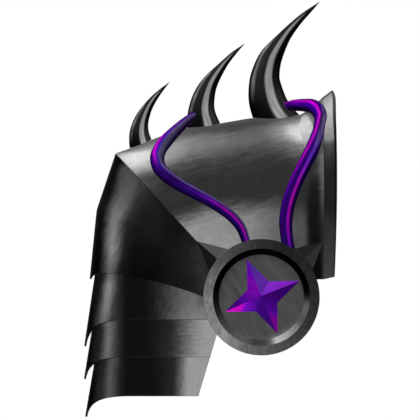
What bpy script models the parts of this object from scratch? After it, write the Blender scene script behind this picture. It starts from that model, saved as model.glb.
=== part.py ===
"""A right-shoulder pauldron: a shoulder plate mitred to an arm plate, three lames down the upper arm,
a turned-up neck flange, three horns, two bent rods and a roundel with a faceted star and two spikes.

Metres, +Z up, -Y the wearer's front, +X towards the neck. The origin is the seat: the highest point
of the wearer's shoulder, against the inside of the shoulder plate.
"""
import math

import bmesh
import bpy
import numpy as np
from mathutils import Matrix, Vector

# ---------------------------------------------------------------- general
GAP = 0.0003            # air kept between neighbouring pieces
PLATE = 0.0022          # thickness of the formed plates

# shoulder plate: a bowed section carried along the ridge line
SHOULDER_RISE = 0.090   # height of the bowed part of the section, ridge to flat front wall
SHOULDER_DEPTH = 0.086  # half of the front-to-back size
RIDGE = (               # the top line, outer side:  x, z
    (-0.1092, -0.0287),
    (-0.0953, -0.0238),
    (-0.073, -0.0150),
    (-0.037, -0.0030),
    (-0.005, 0.0013),
    (0.028, 0.0067),
    (0.075, 0.0099),
)
SHOULDER_HEM = ((0.0081, -0.1572), (0.0989, -0.1546))   # lower edge of the front wall:  x, z

# neck end: a throat that sweeps up, then a flat strip
THROAT_X = (0.075, 0.0973)
THROAT_RISE = 0.0166
THROAT_POWER = 1.3
FLANGE_X = 0.1080
FLANGE_RISE = 0.0249    # how far the rim stands off the section, throat included
NECK_ROUND = 0.0021     # the neck edge is this much further in at the ridge, rounding outwards
NECK_ROUND_ANGLE = math.radians(24)         # over this much of the bow
NECK_BOW = 0.0014       # lower, it stands further out half way down than at its ends
NECK_LEAN = 0.0007      # and a little further in at the hem
FLANGE_HEM_LIFT = 0.0022

# mitre between shoulder and arm: a plane square to the front view, through the peak
PEAK = Vector((-0.1092, 0.0, -0.0287))
MITRE_FALL = 1.09       # metres down for each metre towards the neck
MITRE_OVERLAP = 0.004   # how far the shoulder plate is drawn past the mitre that trims it
MITRE_BOX = Vector((0.50, 0.40, 0.16))      # the trimming box: along the slope, front to back, thick
MITRE_BOX_ALONG = 0.10  # its centre, down the slope from the peak

# arm plate and lames
ARM_CORNER = (-0.1290, -0.0860)     # where the outer line turns downwards:  x, z
ARM_TIP = (-0.1355, -0.1550)
ARM_RISE = 0.097        # bowed part of the section, outer line to flat front wall
ARM_DEPTH = 0.0765
ARM_HEM = (-0.130, -0.1470, 0.08, 1.4)   # x0, z at x0, slope, slope gained per metre
ARM_TIP_DROP = 0.0082
ARM_CORNER_SOFTNESS = 0.06
ARM_FRONT_BOW = 0.25    # share of the outward bow that the front and back keep
ARM_OVERRUN = 0.035     # share of its length that the arm plate is drawn past the mitre
CUT_EDGE = (-0.008, -0.2107, 0.30)  # inner edge of arm plate and lames:  x, z, x gained per metre of z
TIP_ANGLE = math.radians(55)        # how far round the section a pointed tip reaches
TIP_POWER = 2.0
TUCK = 0.012            # how far a lame goes up under its neighbour

LAMES = (  # name, outer line upper x, z, tip x, tip z, hem z, depth at top, depth at hem
    ("lame_upper", -0.1302, -0.1523, -0.1407, -0.2223, -0.1950, 0.0720, 0.0740),
    ("lame_middle", -0.1330, -0.2068, -0.1409, -0.2551, -0.2325, 0.0703, 0.0730),
    ("lame_lower", -0.1305, -0.2390, -0.1396, -0.2929, -0.2710, 0.0693, 0.0720),
)

# horns: round, tapering, bent more at the foot than at the tip
HORN_TIP_RADIUS = 0.0004
HORN_STEPS = 14
HORNS = (  # name, foot x, foot z, length, lean at foot, lean at tip (degrees), radius, bend and taper powers
    ("horn_small", -0.0842, -0.0179, 0.0706, -28.4, 57.0, 0.0118, 0.55, 1.27),
    ("horn_middle", -0.0223, 0.0046, 0.0900, -30.2, 53.2, 0.0152, 0.43, 1.16),
    ("horn_large", 0.0496, 0.0128, 0.1280, -70.0, 56.2, 0.0209, 0.40, 1.02),
)
ROOT_LENGTH = 0.018     # length of horn that the plate's outline then cuts away
ROOT_LEAN = -22.0
ROOT_SPREAD = 1.08
HORN_SUBSTEPS = 16      # steps of the bend between two stations
SEAT_DEPTH = 0.030      # thickness of the shoulder body that cuts the horns' feet
SEAT_ROWS = 9           # rows down the bow, as far as any horn reaches

# bent rods: from inside the edge of a horn, which cuts them to fit, forward over the plate and down
# to the back of the roundel
ROD_STEPS = 2           # stations between two points of a route
ROD_LEFT = (   # x, y, z
    (-0.0270, -0.0080, 0.0110),
    (-0.0310, -0.0135, 0.0092),
    (-0.0390, -0.0225, 0.0042),
    (-0.0486, -0.0340, -0.0053),
    (-0.0588, -0.0465, -0.0155),
    (-0.0650, -0.0560, -0.0240),
    (-0.0678, -0.0660, -0.0335),
    (-0.0650, -0.0755, -0.0438),
    (-0.0560, -0.0830, -0.0525),
    (-0.0440, -0.0880, -0.0605),
    (-0.0300, -0.0910, -0.0685),
    (-0.0150, -0.0928, -0.0773),
    (-0.0020, -0.0935, -0.0855),
    (0.0080, -0.0938, -0.0940),
    (0.0150, -0.0940, -0.1035),
    (0.0190, -0.0948, -0.1130),
    (0.0210, -0.0958, -0.1200),
    (0.0225, -0.0963, -0.1270),
)
ROD_RIGHT = (   # x, y, z
    (0.0570, -0.0080, 0.0155),
    (0.0600, -0.0120, 0.0170),
    (0.0660, -0.0195, 0.0188),
    (0.0721, -0.0280, 0.0197),
    (0.0807, -0.0405, 0.0195),
    (0.0874, -0.0520, 0.0179),
    (0.0925, -0.0630, 0.0141),
    (0.0951, -0.0735, 0.0083),
    (0.0949, -0.0805, 0.0020),
    (0.0935, -0.0860, -0.0063),
    (0.0912, -0.0893, -0.0146),
    (0.0865, -0.0915, -0.0268),
    (0.0798, -0.0923, -0.0388),
    (0.0730, -0.0928, -0.0510),
    (0.0678, -0.0934, -0.0648),
    (0.0642, -0.0940, -0.0770),
    (0.0622, -0.0942, -0.0870),
    (0.0616, -0.0943, -0.0978),
    (0.0623, -0.0944, -0.1070),
    (0.0638, -0.0949, -0.1160),
    (0.0660, -0.0952, -0.1260),
)
RODS = (  # name, route, horn it starts on, radius at horn, swell at mid length, radius at roundel
    ("rod_left", ROD_LEFT, "horn_middle", 0.0040, 0.0020, 0.0042),
    ("rod_right", ROD_RIGHT, "horn_large", 0.0048, 0.0017, 0.0054),
)

# roundel: a turned ring with a bevelled well, a disc in its back, a star on the disc
ROUNDEL_X = 0.0367
ROUNDEL_Z = -0.1725
RING_BACK_Y = -0.1010
RING_THICKNESS = 0.0090
RING_RADIUS = 0.0580
RING_CHAMFER = 0.0006
WELL_RADIUS = 0.0484
FLOOR_RADIUS = 0.0424
DISC_RADIUS = 0.0460
DISC_THICKNESS = 0.0022
STAR_TIP_RADIUS = 0.0402
STAR_NOTCH_RADIUS = 0.0164
STAR_HEIGHT = 0.0090
STAR_TURN = math.radians(22.5)
SPIKE_REACH = 0.0845
SPIKE_HALF_ANGLE = math.radians(26.6)
SPIKE_HALF_THICKNESS = 0.0034
SPIKE_SUNK = 0.006      # drawn this far inside the ring's edge, which then trims it
SPIKES = (("spike_left", 139.6), ("spike_right", 42.2))   # name, direction in degrees from +X
POST_RADIUS = 0.0105
POST_RISE = 0.0345      # the post stands this far above the roundel's centre, where the plate is

BOW_STEPS = 12          # mesh steps round a quarter of the bowed section
SHOULDER_STEPS = 8      # mesh steps along the plain part of the shoulder
THROAT_STEPS = 5
ARM_STEPS = 9           # mesh steps from crease to hem
LAME_STEPS = 4
HORN_ROUND = 6          # curve bevel resolution of the horns
ROD_ROUND = 3           # and of the rods
ROUND_STEPS = 64


# ---------------------------------------------------------------- helpers
def clear_scene():
    for obj in list(bpy.data.objects):
        bpy.data.objects.remove(obj, do_unlink=True)


def make_collection(name):
    collection = bpy.data.collections.new(name)
    bpy.context.scene.collection.children.link(collection)
    return collection


def make_material(name, colour, roughness, metallic=1.0):
    material = bpy.data.materials.new(name)
    material.use_nodes = True
    shader = material.node_tree.nodes["Principled BSDF"]
    shader.inputs["Base Color"].default_value = (*colour, 1.0)
    shader.inputs["Roughness"].default_value = roughness
    shader.inputs["Metallic"].default_value = metallic
    return material


def add_object(name, data, material):
    obj = bpy.data.objects.new(name, data)
    PARTS.objects.link(obj)
    data.materials.append(material)
    return obj


def make_cutter(obj):
    """Move an object to the cutters, shown as wire and left out of the render."""
    for collection in list(obj.users_collection):
        collection.objects.unlink(obj)
    CUTTERS.objects.link(obj)
    obj.hide_render = True
    obj.display_type = "WIRE"
    return obj


def cut(obj, cutter, name):
    modifier = obj.modifiers.new(name, "BOOLEAN")
    modifier.operation = "DIFFERENCE"
    modifier.solver = "EXACT"
    modifier.object = cutter


def smooth_line(table, x):
    """Height at x on a smooth line through the table's points, straight beyond its ends."""
    xs = np.array([row[0] for row in table])
    zs = np.array([row[1] for row in table])
    slopes = np.gradient(zs, xs)
    if x <= xs[0]:
        return zs[0] + slopes[0] * (x - xs[0])
    if x >= xs[-1]:
        return zs[-1] + slopes[-1] * (x - xs[-1])
    i = int(np.searchsorted(xs, x)) - 1
    span = xs[i + 1] - xs[i]
    t = (x - xs[i]) / span
    return ((2 * t**3 - 3 * t**2 + 1) * zs[i] + (t**3 - 2 * t**2 + t) * span * slopes[i]
            + (3 * t**2 - 2 * t**3) * zs[i + 1] + (t**3 - t**2) * span * slopes[i + 1])


def grid_mesh(name, rows):
    """A mesh of quads between rows of points, its faces turned away from the wearer."""
    count = len(rows[0])
    points = [point for row in rows for point in row]
    faces = []
    for i in range(len(rows) - 1):
        for j in range(count - 1):
            a = i * count + j
            faces.append((a, a + 1, a + count + 1, a + count))
    mesh = bpy.data.meshes.new(name)
    mesh.from_pydata(points, [], faces)
    middle = mesh.polygons[len(mesh.polygons) // 2]
    if middle.normal.y > 0:
        mesh.flip_normals()
    mesh.shade_smooth()
    return mesh


def add_shell(name, rows, material, thickness=PLATE):
    """A plate from its front half: mirrored front to back, then given its thickness inwards."""
    obj = add_object(name, grid_mesh(name, rows), material)
    mirror = obj.modifiers.new("back half", "MIRROR")
    mirror.use_axis = (False, True, False)
    mirror.merge_threshold = 0.00005
    wall = obj.modifiers.new("wall", "SOLIDIFY")
    wall.thickness = thickness
    wall.offset = -1.0
    wall.use_even_offset = True
    return obj


def lerp(a, b, t):
    return a + (b - a) * t


# ---------------------------------------------------------------- the plates' surfaces
def section_stations(wall_steps):
    """Stations down half a section: (angle round the bow, share of the flat wall below it)."""
    bow = [(0.5 * math.pi * i / BOW_STEPS, 0.0) for i in range(BOW_STEPS + 1)]
    wall = [(0.5 * math.pi, (i + 1) / wall_steps) for i in range(wall_steps)]
    return bow + wall


def flare(x):
    """How far the neck end stands off the plain section at x."""
    if x <= THROAT_X[0]:
        return 0.0
    if x <= THROAT_X[1]:
        share = (x - THROAT_X[0]) / (THROAT_X[1] - THROAT_X[0])
        return THROAT_RISE * share**THROAT_POWER
    share = (x - THROAT_X[1]) / (FLANGE_X - THROAT_X[1])
    return lerp(THROAT_RISE, FLANGE_RISE, share)


def shoulder_point(x, angle, wall, offset=0.0):
    """A point of the shoulder's outer surface, at ridge position x and a section station."""
    stand = flare(x) + offset
    ridge = smooth_line(RIDGE, min(x, THROAT_X[0]))
    hem_share = (x - SHOULDER_HEM[0][0]) / (SHOULDER_HEM[1][0] - SHOULDER_HEM[0][0])
    hem = lerp(SHOULDER_HEM[0][1], SHOULDER_HEM[1][1], hem_share)
    if x > THROAT_X[1]:
        hem += FLANGE_HEM_LIFT * (x - THROAT_X[1]) / (FLANGE_X - THROAT_X[1])
    bow_end = ridge - SHOULDER_RISE
    z = bow_end + (SHOULDER_RISE + stand) * math.cos(angle)
    z = lerp(z, hem, wall)
    y = -(SHOULDER_DEPTH + stand) * math.sin(angle)
    down = max(0.0, (ridge - z) / (ridge - hem))
    rounding = 0.5 - 0.5 * math.cos(math.pi * min(1.0, angle / NECK_ROUND_ANGLE))
    sway = NECK_ROUND * rounding + 4 * NECK_BOW * down * (1 - down) - NECK_LEAN * down
    return Vector((x + sway * flare(x) / FLANGE_RISE, y, z))


def mitre_height(x):
    return PEAK.z - MITRE_FALL * (x - PEAK.x)


def crease_x(angle, wall):
    """Ridge position where a section station meets the mitre plane, by halving."""
    low, high = PEAK.x - 0.01, SHOULDER_HEM[0][0] + 0.01
    for _ in range(40):
        middle = 0.5 * (low + high)
        point = shoulder_point(middle, angle, wall)
        if point.z < mitre_height(point.x):
            low = middle
        else:
            high = middle
    return 0.5 * (low + high)


def tip_drop(angle, drop):
    """The pointed tip of a hem: deepest on the outer line, gone at TIP_ANGLE."""
    return drop * max(0.0, 1 - angle / TIP_ANGLE) ** TIP_POWER


def cut_edge_x(z):
    x, z0, lean = CUT_EDGE
    return x + lean * (z - z0)


def arm_hem_z(x):
    x0, z0, slope, gain = ARM_HEM
    return z0 - slope * (x - x0) - gain * (x - x0) ** 2


def arm_hem_point(angle, wall):
    """A point of the arm plate's lower edge."""
    bow_x = ARM_TIP[0] + ARM_RISE * (1 - math.cos(angle))
    end_x = cut_edge_x(arm_hem_z(0.0))
    x = lerp(bow_x, end_x, wall)
    z = arm_hem_z(x) - tip_drop(angle, ARM_TIP_DROP)
    return Vector((x, -ARM_DEPTH * math.sin(angle), z))


def soft_least(a, b):
    """The lesser of two values, rounded where they cross."""
    return 0.5 * (a + b - math.sqrt((a - b) ** 2 + ARM_CORNER_SOFTNESS**2))


def arm_bow(share):
    """How far out of straight the arm plate is, from 0 at both ends to about 1 at its corner."""
    corner = (PEAK.z - ARM_CORNER[1]) / (PEAK.z - ARM_TIP[1])
    if share < 0:
        return share / corner
    fall_at_top = 1 / (1 - corner)
    rise_at_hem = 1 / corner
    ends = lerp(soft_least(0.0, fall_at_top), soft_least(rise_at_hem, 0.0), share)
    return soft_least(share / corner, (1 - share) * fall_at_top) - ends


def arm_point(angle, wall, share):
    """A point of the arm plate: from the crease (share 0) to the hem (share 1), bowed outwards."""
    crease = shoulder_point(crease_x(angle, wall), angle, wall)
    point = crease.lerp(arm_hem_point(angle, wall), share)
    corner = (PEAK.z - ARM_CORNER[1]) / (PEAK.z - ARM_TIP[1])
    bow = arm_bow(share) * (lerp(PEAK.x, ARM_TIP[0], corner) - ARM_CORNER[0])
    point.x -= bow * math.cos(angle) ** 2
    point.y -= bow * ARM_FRONT_BOW * math.sin(angle) * (1 - wall)
    return point


# ---------------------------------------------------------------- the pieces
def shoulder_stations(angle, wall):
    """Ridge positions of a row of the shoulder plate, from past the mitre to the throat's rim."""
    start = crease_x(angle, wall) - MITRE_OVERLAP
    plain = [lerp(start, THROAT_X[0], i / SHOULDER_STEPS) for i in range(SHOULDER_STEPS)]
    return plain + [lerp(*THROAT_X, (i / THROAT_STEPS) ** 1.5) for i in range(THROAT_STEPS + 1)]


def make_shoulder_plate():
    columns = []
    for angle, wall in section_stations(2):
        columns.append([shoulder_point(x, angle, wall) for x in shoulder_stations(angle, wall)])
    obj = add_shell("shoulder_plate", columns, STEEL)
    cut(obj, MITRE_LOW, "mitre")
    return obj


def make_neck_flange():
    start = THROAT_X[1] + 1.5 * GAP     # the strip leans, so its seam is a little narrower than this
    columns = []
    for angle, wall in section_stations(2):
        columns.append([shoulder_point(x, angle, wall) for x in (start, FLANGE_X)])
    return add_shell("neck_flange", columns, STEEL)


def make_arm_plate():
    shares = [-ARM_OVERRUN] + [i / ARM_STEPS for i in range(1, ARM_STEPS + 1)]
    columns = []
    for angle, wall in section_stations(3):
        columns.append([arm_point(angle, wall, share) for share in shares])
    obj = add_shell("arm_plate", columns, DARK_STEEL)
    cut(obj, MITRE_HIGH, "mitre")
    return obj


def make_lame(row, top_edge):
    """One lame: a flaring section between its tucked-in top edge and its pointed hem."""
    name, line_x, line_z, tip_x, tip_z, hem, top_depth, hem_depth = row
    lean = (tip_x - line_x) / (tip_z - line_z)
    top_z = top_edge(0.0) + TUCK

    def surface(angle, wall, z):
        outer = line_x + lean * (z - line_z)
        x = lerp(outer + ARM_RISE * (1 - math.cos(angle)), cut_edge_x(z), wall)
        depth = lerp(top_depth, hem_depth, (top_z - z) / (top_z - hem))
        return Vector((x, -depth * math.sin(angle), z))

    columns = []
    for angle, wall in section_stations(1):
        across = surface(angle, wall, hem).x
        upper = top_edge(across) + TUCK
        lower = hem - tip_drop(angle, hem - tip_z)
        heights = [lerp(upper, lower, i / LAME_STEPS) for i in range(LAME_STEPS + 1)]
        columns.append([surface(angle, wall, z) for z in heights])
    return add_shell(name, columns, DARK_STEEL)


def make_lames():
    edges = [arm_hem_z] + [lambda x, z=row[5]: z for row in LAMES]
    for row, edge in zip(LAMES, edges):
        make_lame(row, edge)


def horn_line(row, growth=0.0):
    """Centre points and radii of a horn, root first, its radius enlarged by growth."""
    _, foot_x, foot_z, length, lean_foot, lean_tip, foot_radius, bend_power, taper_power = row
    foot = Vector((foot_x, 0.0, foot_z))
    root_lean = math.radians(ROOT_LEAN)
    root = foot - Vector((math.sin(root_lean), 0.0, math.cos(root_lean))) * ROOT_LENGTH
    stations = [(root, foot_radius * ROOT_SPREAD + growth), (foot, foot_radius + growth)]
    fine = HORN_STEPS * HORN_SUBSTEPS
    position = foot.copy()
    for i in range(fine):
        lean = math.radians(lerp(lean_foot, lean_tip, ((i + 0.5) / fine) ** bend_power))
        position += Vector((math.sin(lean), 0.0, math.cos(lean))) * (length / fine)
        if (i + 1) % HORN_SUBSTEPS == 0:
            radius = lerp(HORN_TIP_RADIUS, foot_radius, (1 - (i + 1) / fine) ** taper_power)
            stations.append((position.copy(), radius + growth))
    return stations


def tube_mesh(name, stations, bevel_resolution):
    """A round tapering solid along its stations: a beveled curve made a mesh, its caps welded."""
    curve = bpy.data.curves.new(name, "CURVE")
    curve.dimensions = "3D"
    curve.bevel_depth = 1.0
    curve.bevel_resolution = bevel_resolution
    curve.use_fill_caps = True
    spline = curve.splines.new("POLY")
    spline.points.add(len(stations) - 1)
    for point, (position, radius) in zip(spline.points, stations):
        point.co = (*position, 1.0)
        point.radius = radius
    source = bpy.data.objects.new(name, curve)
    PARTS.objects.link(source)
    bpy.context.view_layer.update()
    mesh = bpy.data.meshes.new_from_object(source.evaluated_get(bpy.context.evaluated_depsgraph_get()))
    bpy.data.objects.remove(source)
    bpy.data.curves.remove(curve)
    work = bmesh.new()
    work.from_mesh(mesh)
    bmesh.ops.remove_doubles(work, verts=work.verts, dist=0.00002)
    work.to_mesh(mesh)
    work.free()
    mesh.materials.clear()
    mesh.shade_smooth()
    return mesh


def make_horns():
    seat = make_cutter(make_seat())
    for row in HORNS:
        obj = add_object(row[0], tube_mesh(row[0], horn_line(row), HORN_ROUND), BLACK_STEEL)
        cut(obj, seat, "seat on the plate")


def make_seat():
    """The shoulder's body with its outside moved out by the gap, to cut the horns' feet."""
    columns = []
    for angle, wall in section_stations(1)[:SEAT_ROWS + 1]:
        stations = shoulder_stations(angle, wall)[:SHOULDER_STEPS + 2]
        columns.append([shoulder_point(x, angle, wall, GAP) for x in stations])
    return add_shell("horn_seat", columns, STEEL, thickness=SEAT_DEPTH)


def rod_line(row):
    """Centre points and radii of a rod, on a smooth curve through its route."""
    _, route, _, horn_radius, swell, end_radius = row
    knots = [Vector(point) for point in route]
    last = len(knots) - 1
    count = last * ROD_STEPS
    stations = []
    for k in range(count + 1):
        i = min(k // ROD_STEPS, last - 1)
        t = k / ROD_STEPS - i
        p0, p1, p2, p3 = (knots[min(max(n, 0), last)] for n in range(i - 1, i + 3))
        place = 0.5 * (2 * p1 + (p2 - p0) * t + (2 * p0 - 5 * p1 + 4 * p2 - p3) * t**2
                       + (3 * p1 - p0 - 3 * p2 + p3) * t**3)
        share = k / count
        radius = lerp(horn_radius, end_radius, share) + swell * math.sin(math.pi * share)
        stations.append((place, radius))
    return stations


def make_rods():
    horns = {row[0]: row for row in HORNS}
    for row in RODS:
        name, horn = row[0], row[2]
        obj = add_object(name, tube_mesh(name, rod_line(row), ROD_ROUND), VIOLET)
        horn_body = tube_mesh(name, horn_line(horns[horn], GAP), HORN_ROUND)
        socket = add_object(name + "_socket", horn_body, VIOLET)
        cut(obj, make_cutter(socket), "seat on the horn")


def turn(name, profile, material):
    """A turned piece: profile rows of radius and height above the roundel's back, facing front."""
    mesh = bpy.data.meshes.new(name)
    points = [(radius, 0.0, height) for radius, height in profile]
    count = len(points)
    mesh.from_pydata(points, [(i, (i + 1) % count) for i in range(count)], [])
    obj = add_object(name, mesh, material)
    screw = obj.modifiers.new("turned", "SCREW")
    screw.steps = ROUND_STEPS
    screw.render_steps = ROUND_STEPS
    screw.use_merge_vertices = True
    screw.merge_threshold = 0.00001
    screw.use_normal_calculate = True
    screw.use_smooth_shade = False
    return face_front(obj)


def face_front(obj, height=0.0, turned=0.0):
    """Stand an object on the roundel's back plane, its local z pointing to the front."""
    place = Matrix.Translation((ROUNDEL_X, RING_BACK_Y - height, ROUNDEL_Z))
    obj.matrix_world = place @ Matrix.Rotation(math.pi / 2, 4, "X") @ Matrix.Rotation(turned, 4, "Z")
    return obj


def make_ring():
    rebate = DISC_THICKNESS + 2 * GAP
    turn("roundel_ring", (
        (WELL_RADIUS, RING_THICKNESS),
        (RING_RADIUS - RING_CHAMFER, RING_THICKNESS),
        (RING_RADIUS, RING_THICKNESS - RING_CHAMFER),
        (RING_RADIUS, 0.0),
        (DISC_RADIUS + GAP, 0.0),
        (DISC_RADIUS + GAP, rebate),
        (FLOOR_RADIUS, rebate),
        (FLOOR_RADIUS, rebate + GAP),
    ), STEEL)


def cone(name, material, sides, radius, height, smooth=False):
    """A pointed or straight solid on a base at local z 0: straight where height is negative."""
    work = bmesh.new()
    top = radius if height < 0 else 0.0
    bmesh.ops.create_cone(work, cap_ends=True, segments=sides, radius1=radius, radius2=top,
                          depth=abs(height), matrix=Matrix.Translation((0, 0, abs(height) / 2)))
    mesh = bpy.data.meshes.new(name)
    work.to_mesh(mesh)
    work.free()
    if smooth:
        mesh.shade_smooth()
        mesh.set_sharp_from_angle(angle=math.radians(40))
    return add_object(name, mesh, material)


def make_disc():
    obj = cone("roundel_disc", STEEL, ROUND_STEPS, DISC_RADIUS, -DISC_THICKNESS, smooth=True)
    face_front(obj, GAP)


def make_star():
    """A four-pointed star boss: an eight-sided cone whose every second corner is drawn in."""
    obj = cone("star_boss", VIOLET, 8, STAR_TIP_RADIUS, STAR_HEIGHT)
    rim = sorted((v for v in obj.data.vertices if v.co.z < GAP), key=lambda v: math.atan2(v.co.y, v.co.x))
    first = round(math.atan2(rim[0].co.y, rim[0].co.x) / (math.pi / 4))
    for i, vertex in enumerate(rim):
        angle = (first + i) * math.pi / 4
        radius = STAR_NOTCH_RADIUS if (first + i) % 2 else STAR_TIP_RADIUS
        vertex.co.x = radius * math.cos(angle)
        vertex.co.y = radius * math.sin(angle)
    face_front(obj, DISC_THICKNESS + 2 * GAP, STAR_TURN)


def make_spikes():
    """Two four-sided spikes that point up and out of the ring's edge."""
    edge = cone("ring_edge", STEEL, 4 * ROUND_STEPS, RING_RADIUS + GAP, -2 * RING_THICKNESS)
    make_cutter(face_front(edge, -0.5 * RING_THICKNESS))
    length = SPIKE_REACH - RING_RADIUS + SPIKE_SUNK
    half_width = length * math.tan(SPIKE_HALF_ANGLE)
    for name, direction in SPIKES:
        obj = cone(name, STEEL, 4, half_width, length)
        flatten = Matrix.Diagonal((1.0, SPIKE_HALF_THICKNESS / half_width, 1.0, 1.0))
        lie_down = Matrix.Rotation(math.pi / 2, 4, "Y")
        outwards = Matrix.Translation((RING_RADIUS - SPIKE_SUNK, 0.0, 0.0))
        quarter = Matrix.Rotation(math.pi / 2, 4, "Z")
        obj.data.transform(outwards @ lie_down @ quarter @ flatten)
        face_front(obj, 0.5 * RING_THICKNESS, math.radians(direction))
        cut(obj, edge, "seat on the ring")


def make_post():
    """The plain stand-off between the shoulder plate's front wall and the roundel's disc."""
    start = -(SHOULDER_DEPTH + GAP)
    length = start - RING_BACK_Y
    obj = cone("roundel_post", DARK_STEEL, 32, POST_RADIUS, -length, smooth=True)
    obj.data.transform(Matrix.Translation((0.0, POST_RISE, 0.0)))
    face_front(obj, -length)


def make_mitre_cutter(name, side):
    """A box whose face lies on the mitre plane, half the gap into the side that it clears."""
    slope = math.atan(MITRE_FALL)
    normal = Vector((math.sin(slope), 0.0, math.cos(slope)))
    along = Vector((math.cos(slope), 0.0, -math.sin(slope)))
    centre = PEAK + along * MITRE_BOX_ALONG - normal * side * 0.5 * (MITRE_BOX.z - GAP)
    bpy.ops.mesh.primitive_cube_add(size=1.0, location=centre, rotation=(0.0, slope, 0.0))
    obj = bpy.context.object
    obj.name = name
    obj.scale = MITRE_BOX
    return make_cutter(obj)


clear_scene()
PARTS = make_collection("pauldron")
CUTTERS = make_collection("cutters")
STEEL = make_material("bright steel", (0.35, 0.35, 0.36), 0.35)
DARK_STEEL = make_material("dark steel", (0.09, 0.09, 0.095), 0.32)
BLACK_STEEL = make_material("blackened steel", (0.05, 0.05, 0.055), 0.22)
VIOLET = make_material("violet lacquer", (0.12, 0.01, 0.35), 0.25, 0.6)
MITRE_LOW = make_mitre_cutter("mitre_low", 1)
MITRE_HIGH = make_mitre_cutter("mitre_high", -1)

make_shoulder_plate()
make_neck_flange()
make_arm_plate()
make_lames()
make_horns()
make_rods()
make_ring()
make_disc()
make_star()
make_spikes()
make_post()
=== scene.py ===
import math

import bpy
import numpy as np
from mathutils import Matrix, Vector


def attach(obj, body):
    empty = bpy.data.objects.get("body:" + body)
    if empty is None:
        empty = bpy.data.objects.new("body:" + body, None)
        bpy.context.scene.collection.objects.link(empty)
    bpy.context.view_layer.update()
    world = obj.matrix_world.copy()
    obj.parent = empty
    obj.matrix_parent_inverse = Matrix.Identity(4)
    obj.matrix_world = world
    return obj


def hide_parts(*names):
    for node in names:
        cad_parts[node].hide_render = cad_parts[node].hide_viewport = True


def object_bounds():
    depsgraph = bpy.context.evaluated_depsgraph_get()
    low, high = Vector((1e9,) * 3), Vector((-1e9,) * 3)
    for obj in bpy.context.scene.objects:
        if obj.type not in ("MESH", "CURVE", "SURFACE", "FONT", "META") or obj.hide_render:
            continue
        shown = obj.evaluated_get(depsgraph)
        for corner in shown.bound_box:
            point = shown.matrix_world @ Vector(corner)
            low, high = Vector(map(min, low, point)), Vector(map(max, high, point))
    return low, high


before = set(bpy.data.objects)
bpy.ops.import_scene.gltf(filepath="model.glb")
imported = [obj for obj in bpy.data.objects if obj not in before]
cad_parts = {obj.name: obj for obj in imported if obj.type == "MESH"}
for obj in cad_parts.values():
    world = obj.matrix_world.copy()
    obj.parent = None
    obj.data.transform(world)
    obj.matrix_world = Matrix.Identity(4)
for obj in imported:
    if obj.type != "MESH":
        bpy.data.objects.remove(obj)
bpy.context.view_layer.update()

print("frame loaded:", len(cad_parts), "solids")
mm = 0.001
gap = 0.0003            # air between neighbouring pieces, metres
plateThickness = 0.0022
edgeRound = 0.0003      # rounding of the plates' edges
insideTone = 0.25
toneGamma = 2.2         # tones are given as they look, and raised to this power for a shader's colour
quarter = 0.5 * math.pi


# shapes shared by several pieces

def smoothLine(knots, x):
    # cubic through the knots (x, y), its slope at each knot that of its neighbours, straight beyond the ends
    xs, ys = np.array(knots).T
    slopes = np.gradient(ys, xs)
    i = np.clip(np.searchsorted(xs, x) - 1, 0, len(xs) - 2)
    span = xs[i + 1] - xs[i]
    t = np.clip((x - xs[i]) / span, 0, 1)
    curve = ((2 * t**3 - 3 * t**2 + 1) * ys[i] + (t**3 - 2 * t**2 + t) * span * slopes[i]
             + (3 * t**2 - 2 * t**3) * ys[i + 1] + (t**3 - t**2) * span * slopes[i + 1])
    return curve + slopes[0] * np.minimum(x - xs[0], 0) + slopes[-1] * np.maximum(x - xs[-1], 0)


def mixed(a, b, t):
    # a plus the share t of the way to b
    return a + (b - a) * t


def smoothStep(t):
    # 3t squared minus 2t cubed, held between 0 and 1
    t = np.clip(t, 0, 1)
    return t * t * (3 - 2 * t)


def unit(v):
    # a vector over its length
    return v / np.maximum(np.linalg.norm(v, axis=-1, keepdims=True), 1e-12)


def sectionRows(piece):
    # half a plate's section from the ridge down: the angle round its bow, then the share of its flat wall
    bow, flat = piece["bowSteps"], piece["wallSteps"]
    angle = np.concatenate([np.linspace(0, quarter, bow + 1), np.full(flat, quarter)])
    wall = np.concatenate([np.zeros(bow + 1), np.linspace(0, 1, flat + 1)[1:]])
    return angle[:, None], wall[:, None]


def bothSides(half):
    # the front half of a grid and its mirrored half behind: front hem, ridge, back hem
    return np.concatenate([half[::-1], half[1:] * (1, -1, 1)])


def pointNumbers(rows, columns):
    # the numbers of a grid's points, row by row
    return np.arange(rows * columns).reshape(rows, columns)


def cells(index):
    # the four corners of every cell of a grid of point numbers
    return np.stack([index[:-1, :-1], index[:-1, 1:], index[1:, 1:], index[1:, :-1]], -1).reshape(-1, 4)


def roundCells(index):
    # the same for a grid whose last column is joined to its first
    return cells(np.hstack([index, index[:, :1]]))


def fan(ring, pole):
    # triangles from each step of a closed ring of point numbers to one pole
    return np.stack([ring, np.roll(ring, -1), np.full(len(ring), pole)], -1)


def store(mesh, name, domain, rows):
    # one number for each point, or one colour for each point or face corner, kept under a name
    if rows.ndim == 1:
        mesh.attributes.new(name, "FLOAT", domain).data.foreach_set("value", rows.astype(np.float32))
        return
    rows = np.hstack([rows, np.ones((len(rows), 1))]).astype(np.float32)
    mesh.attributes.new(name, "FLOAT_COLOR", domain).data.foreach_set("color", rows.ravel())


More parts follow.
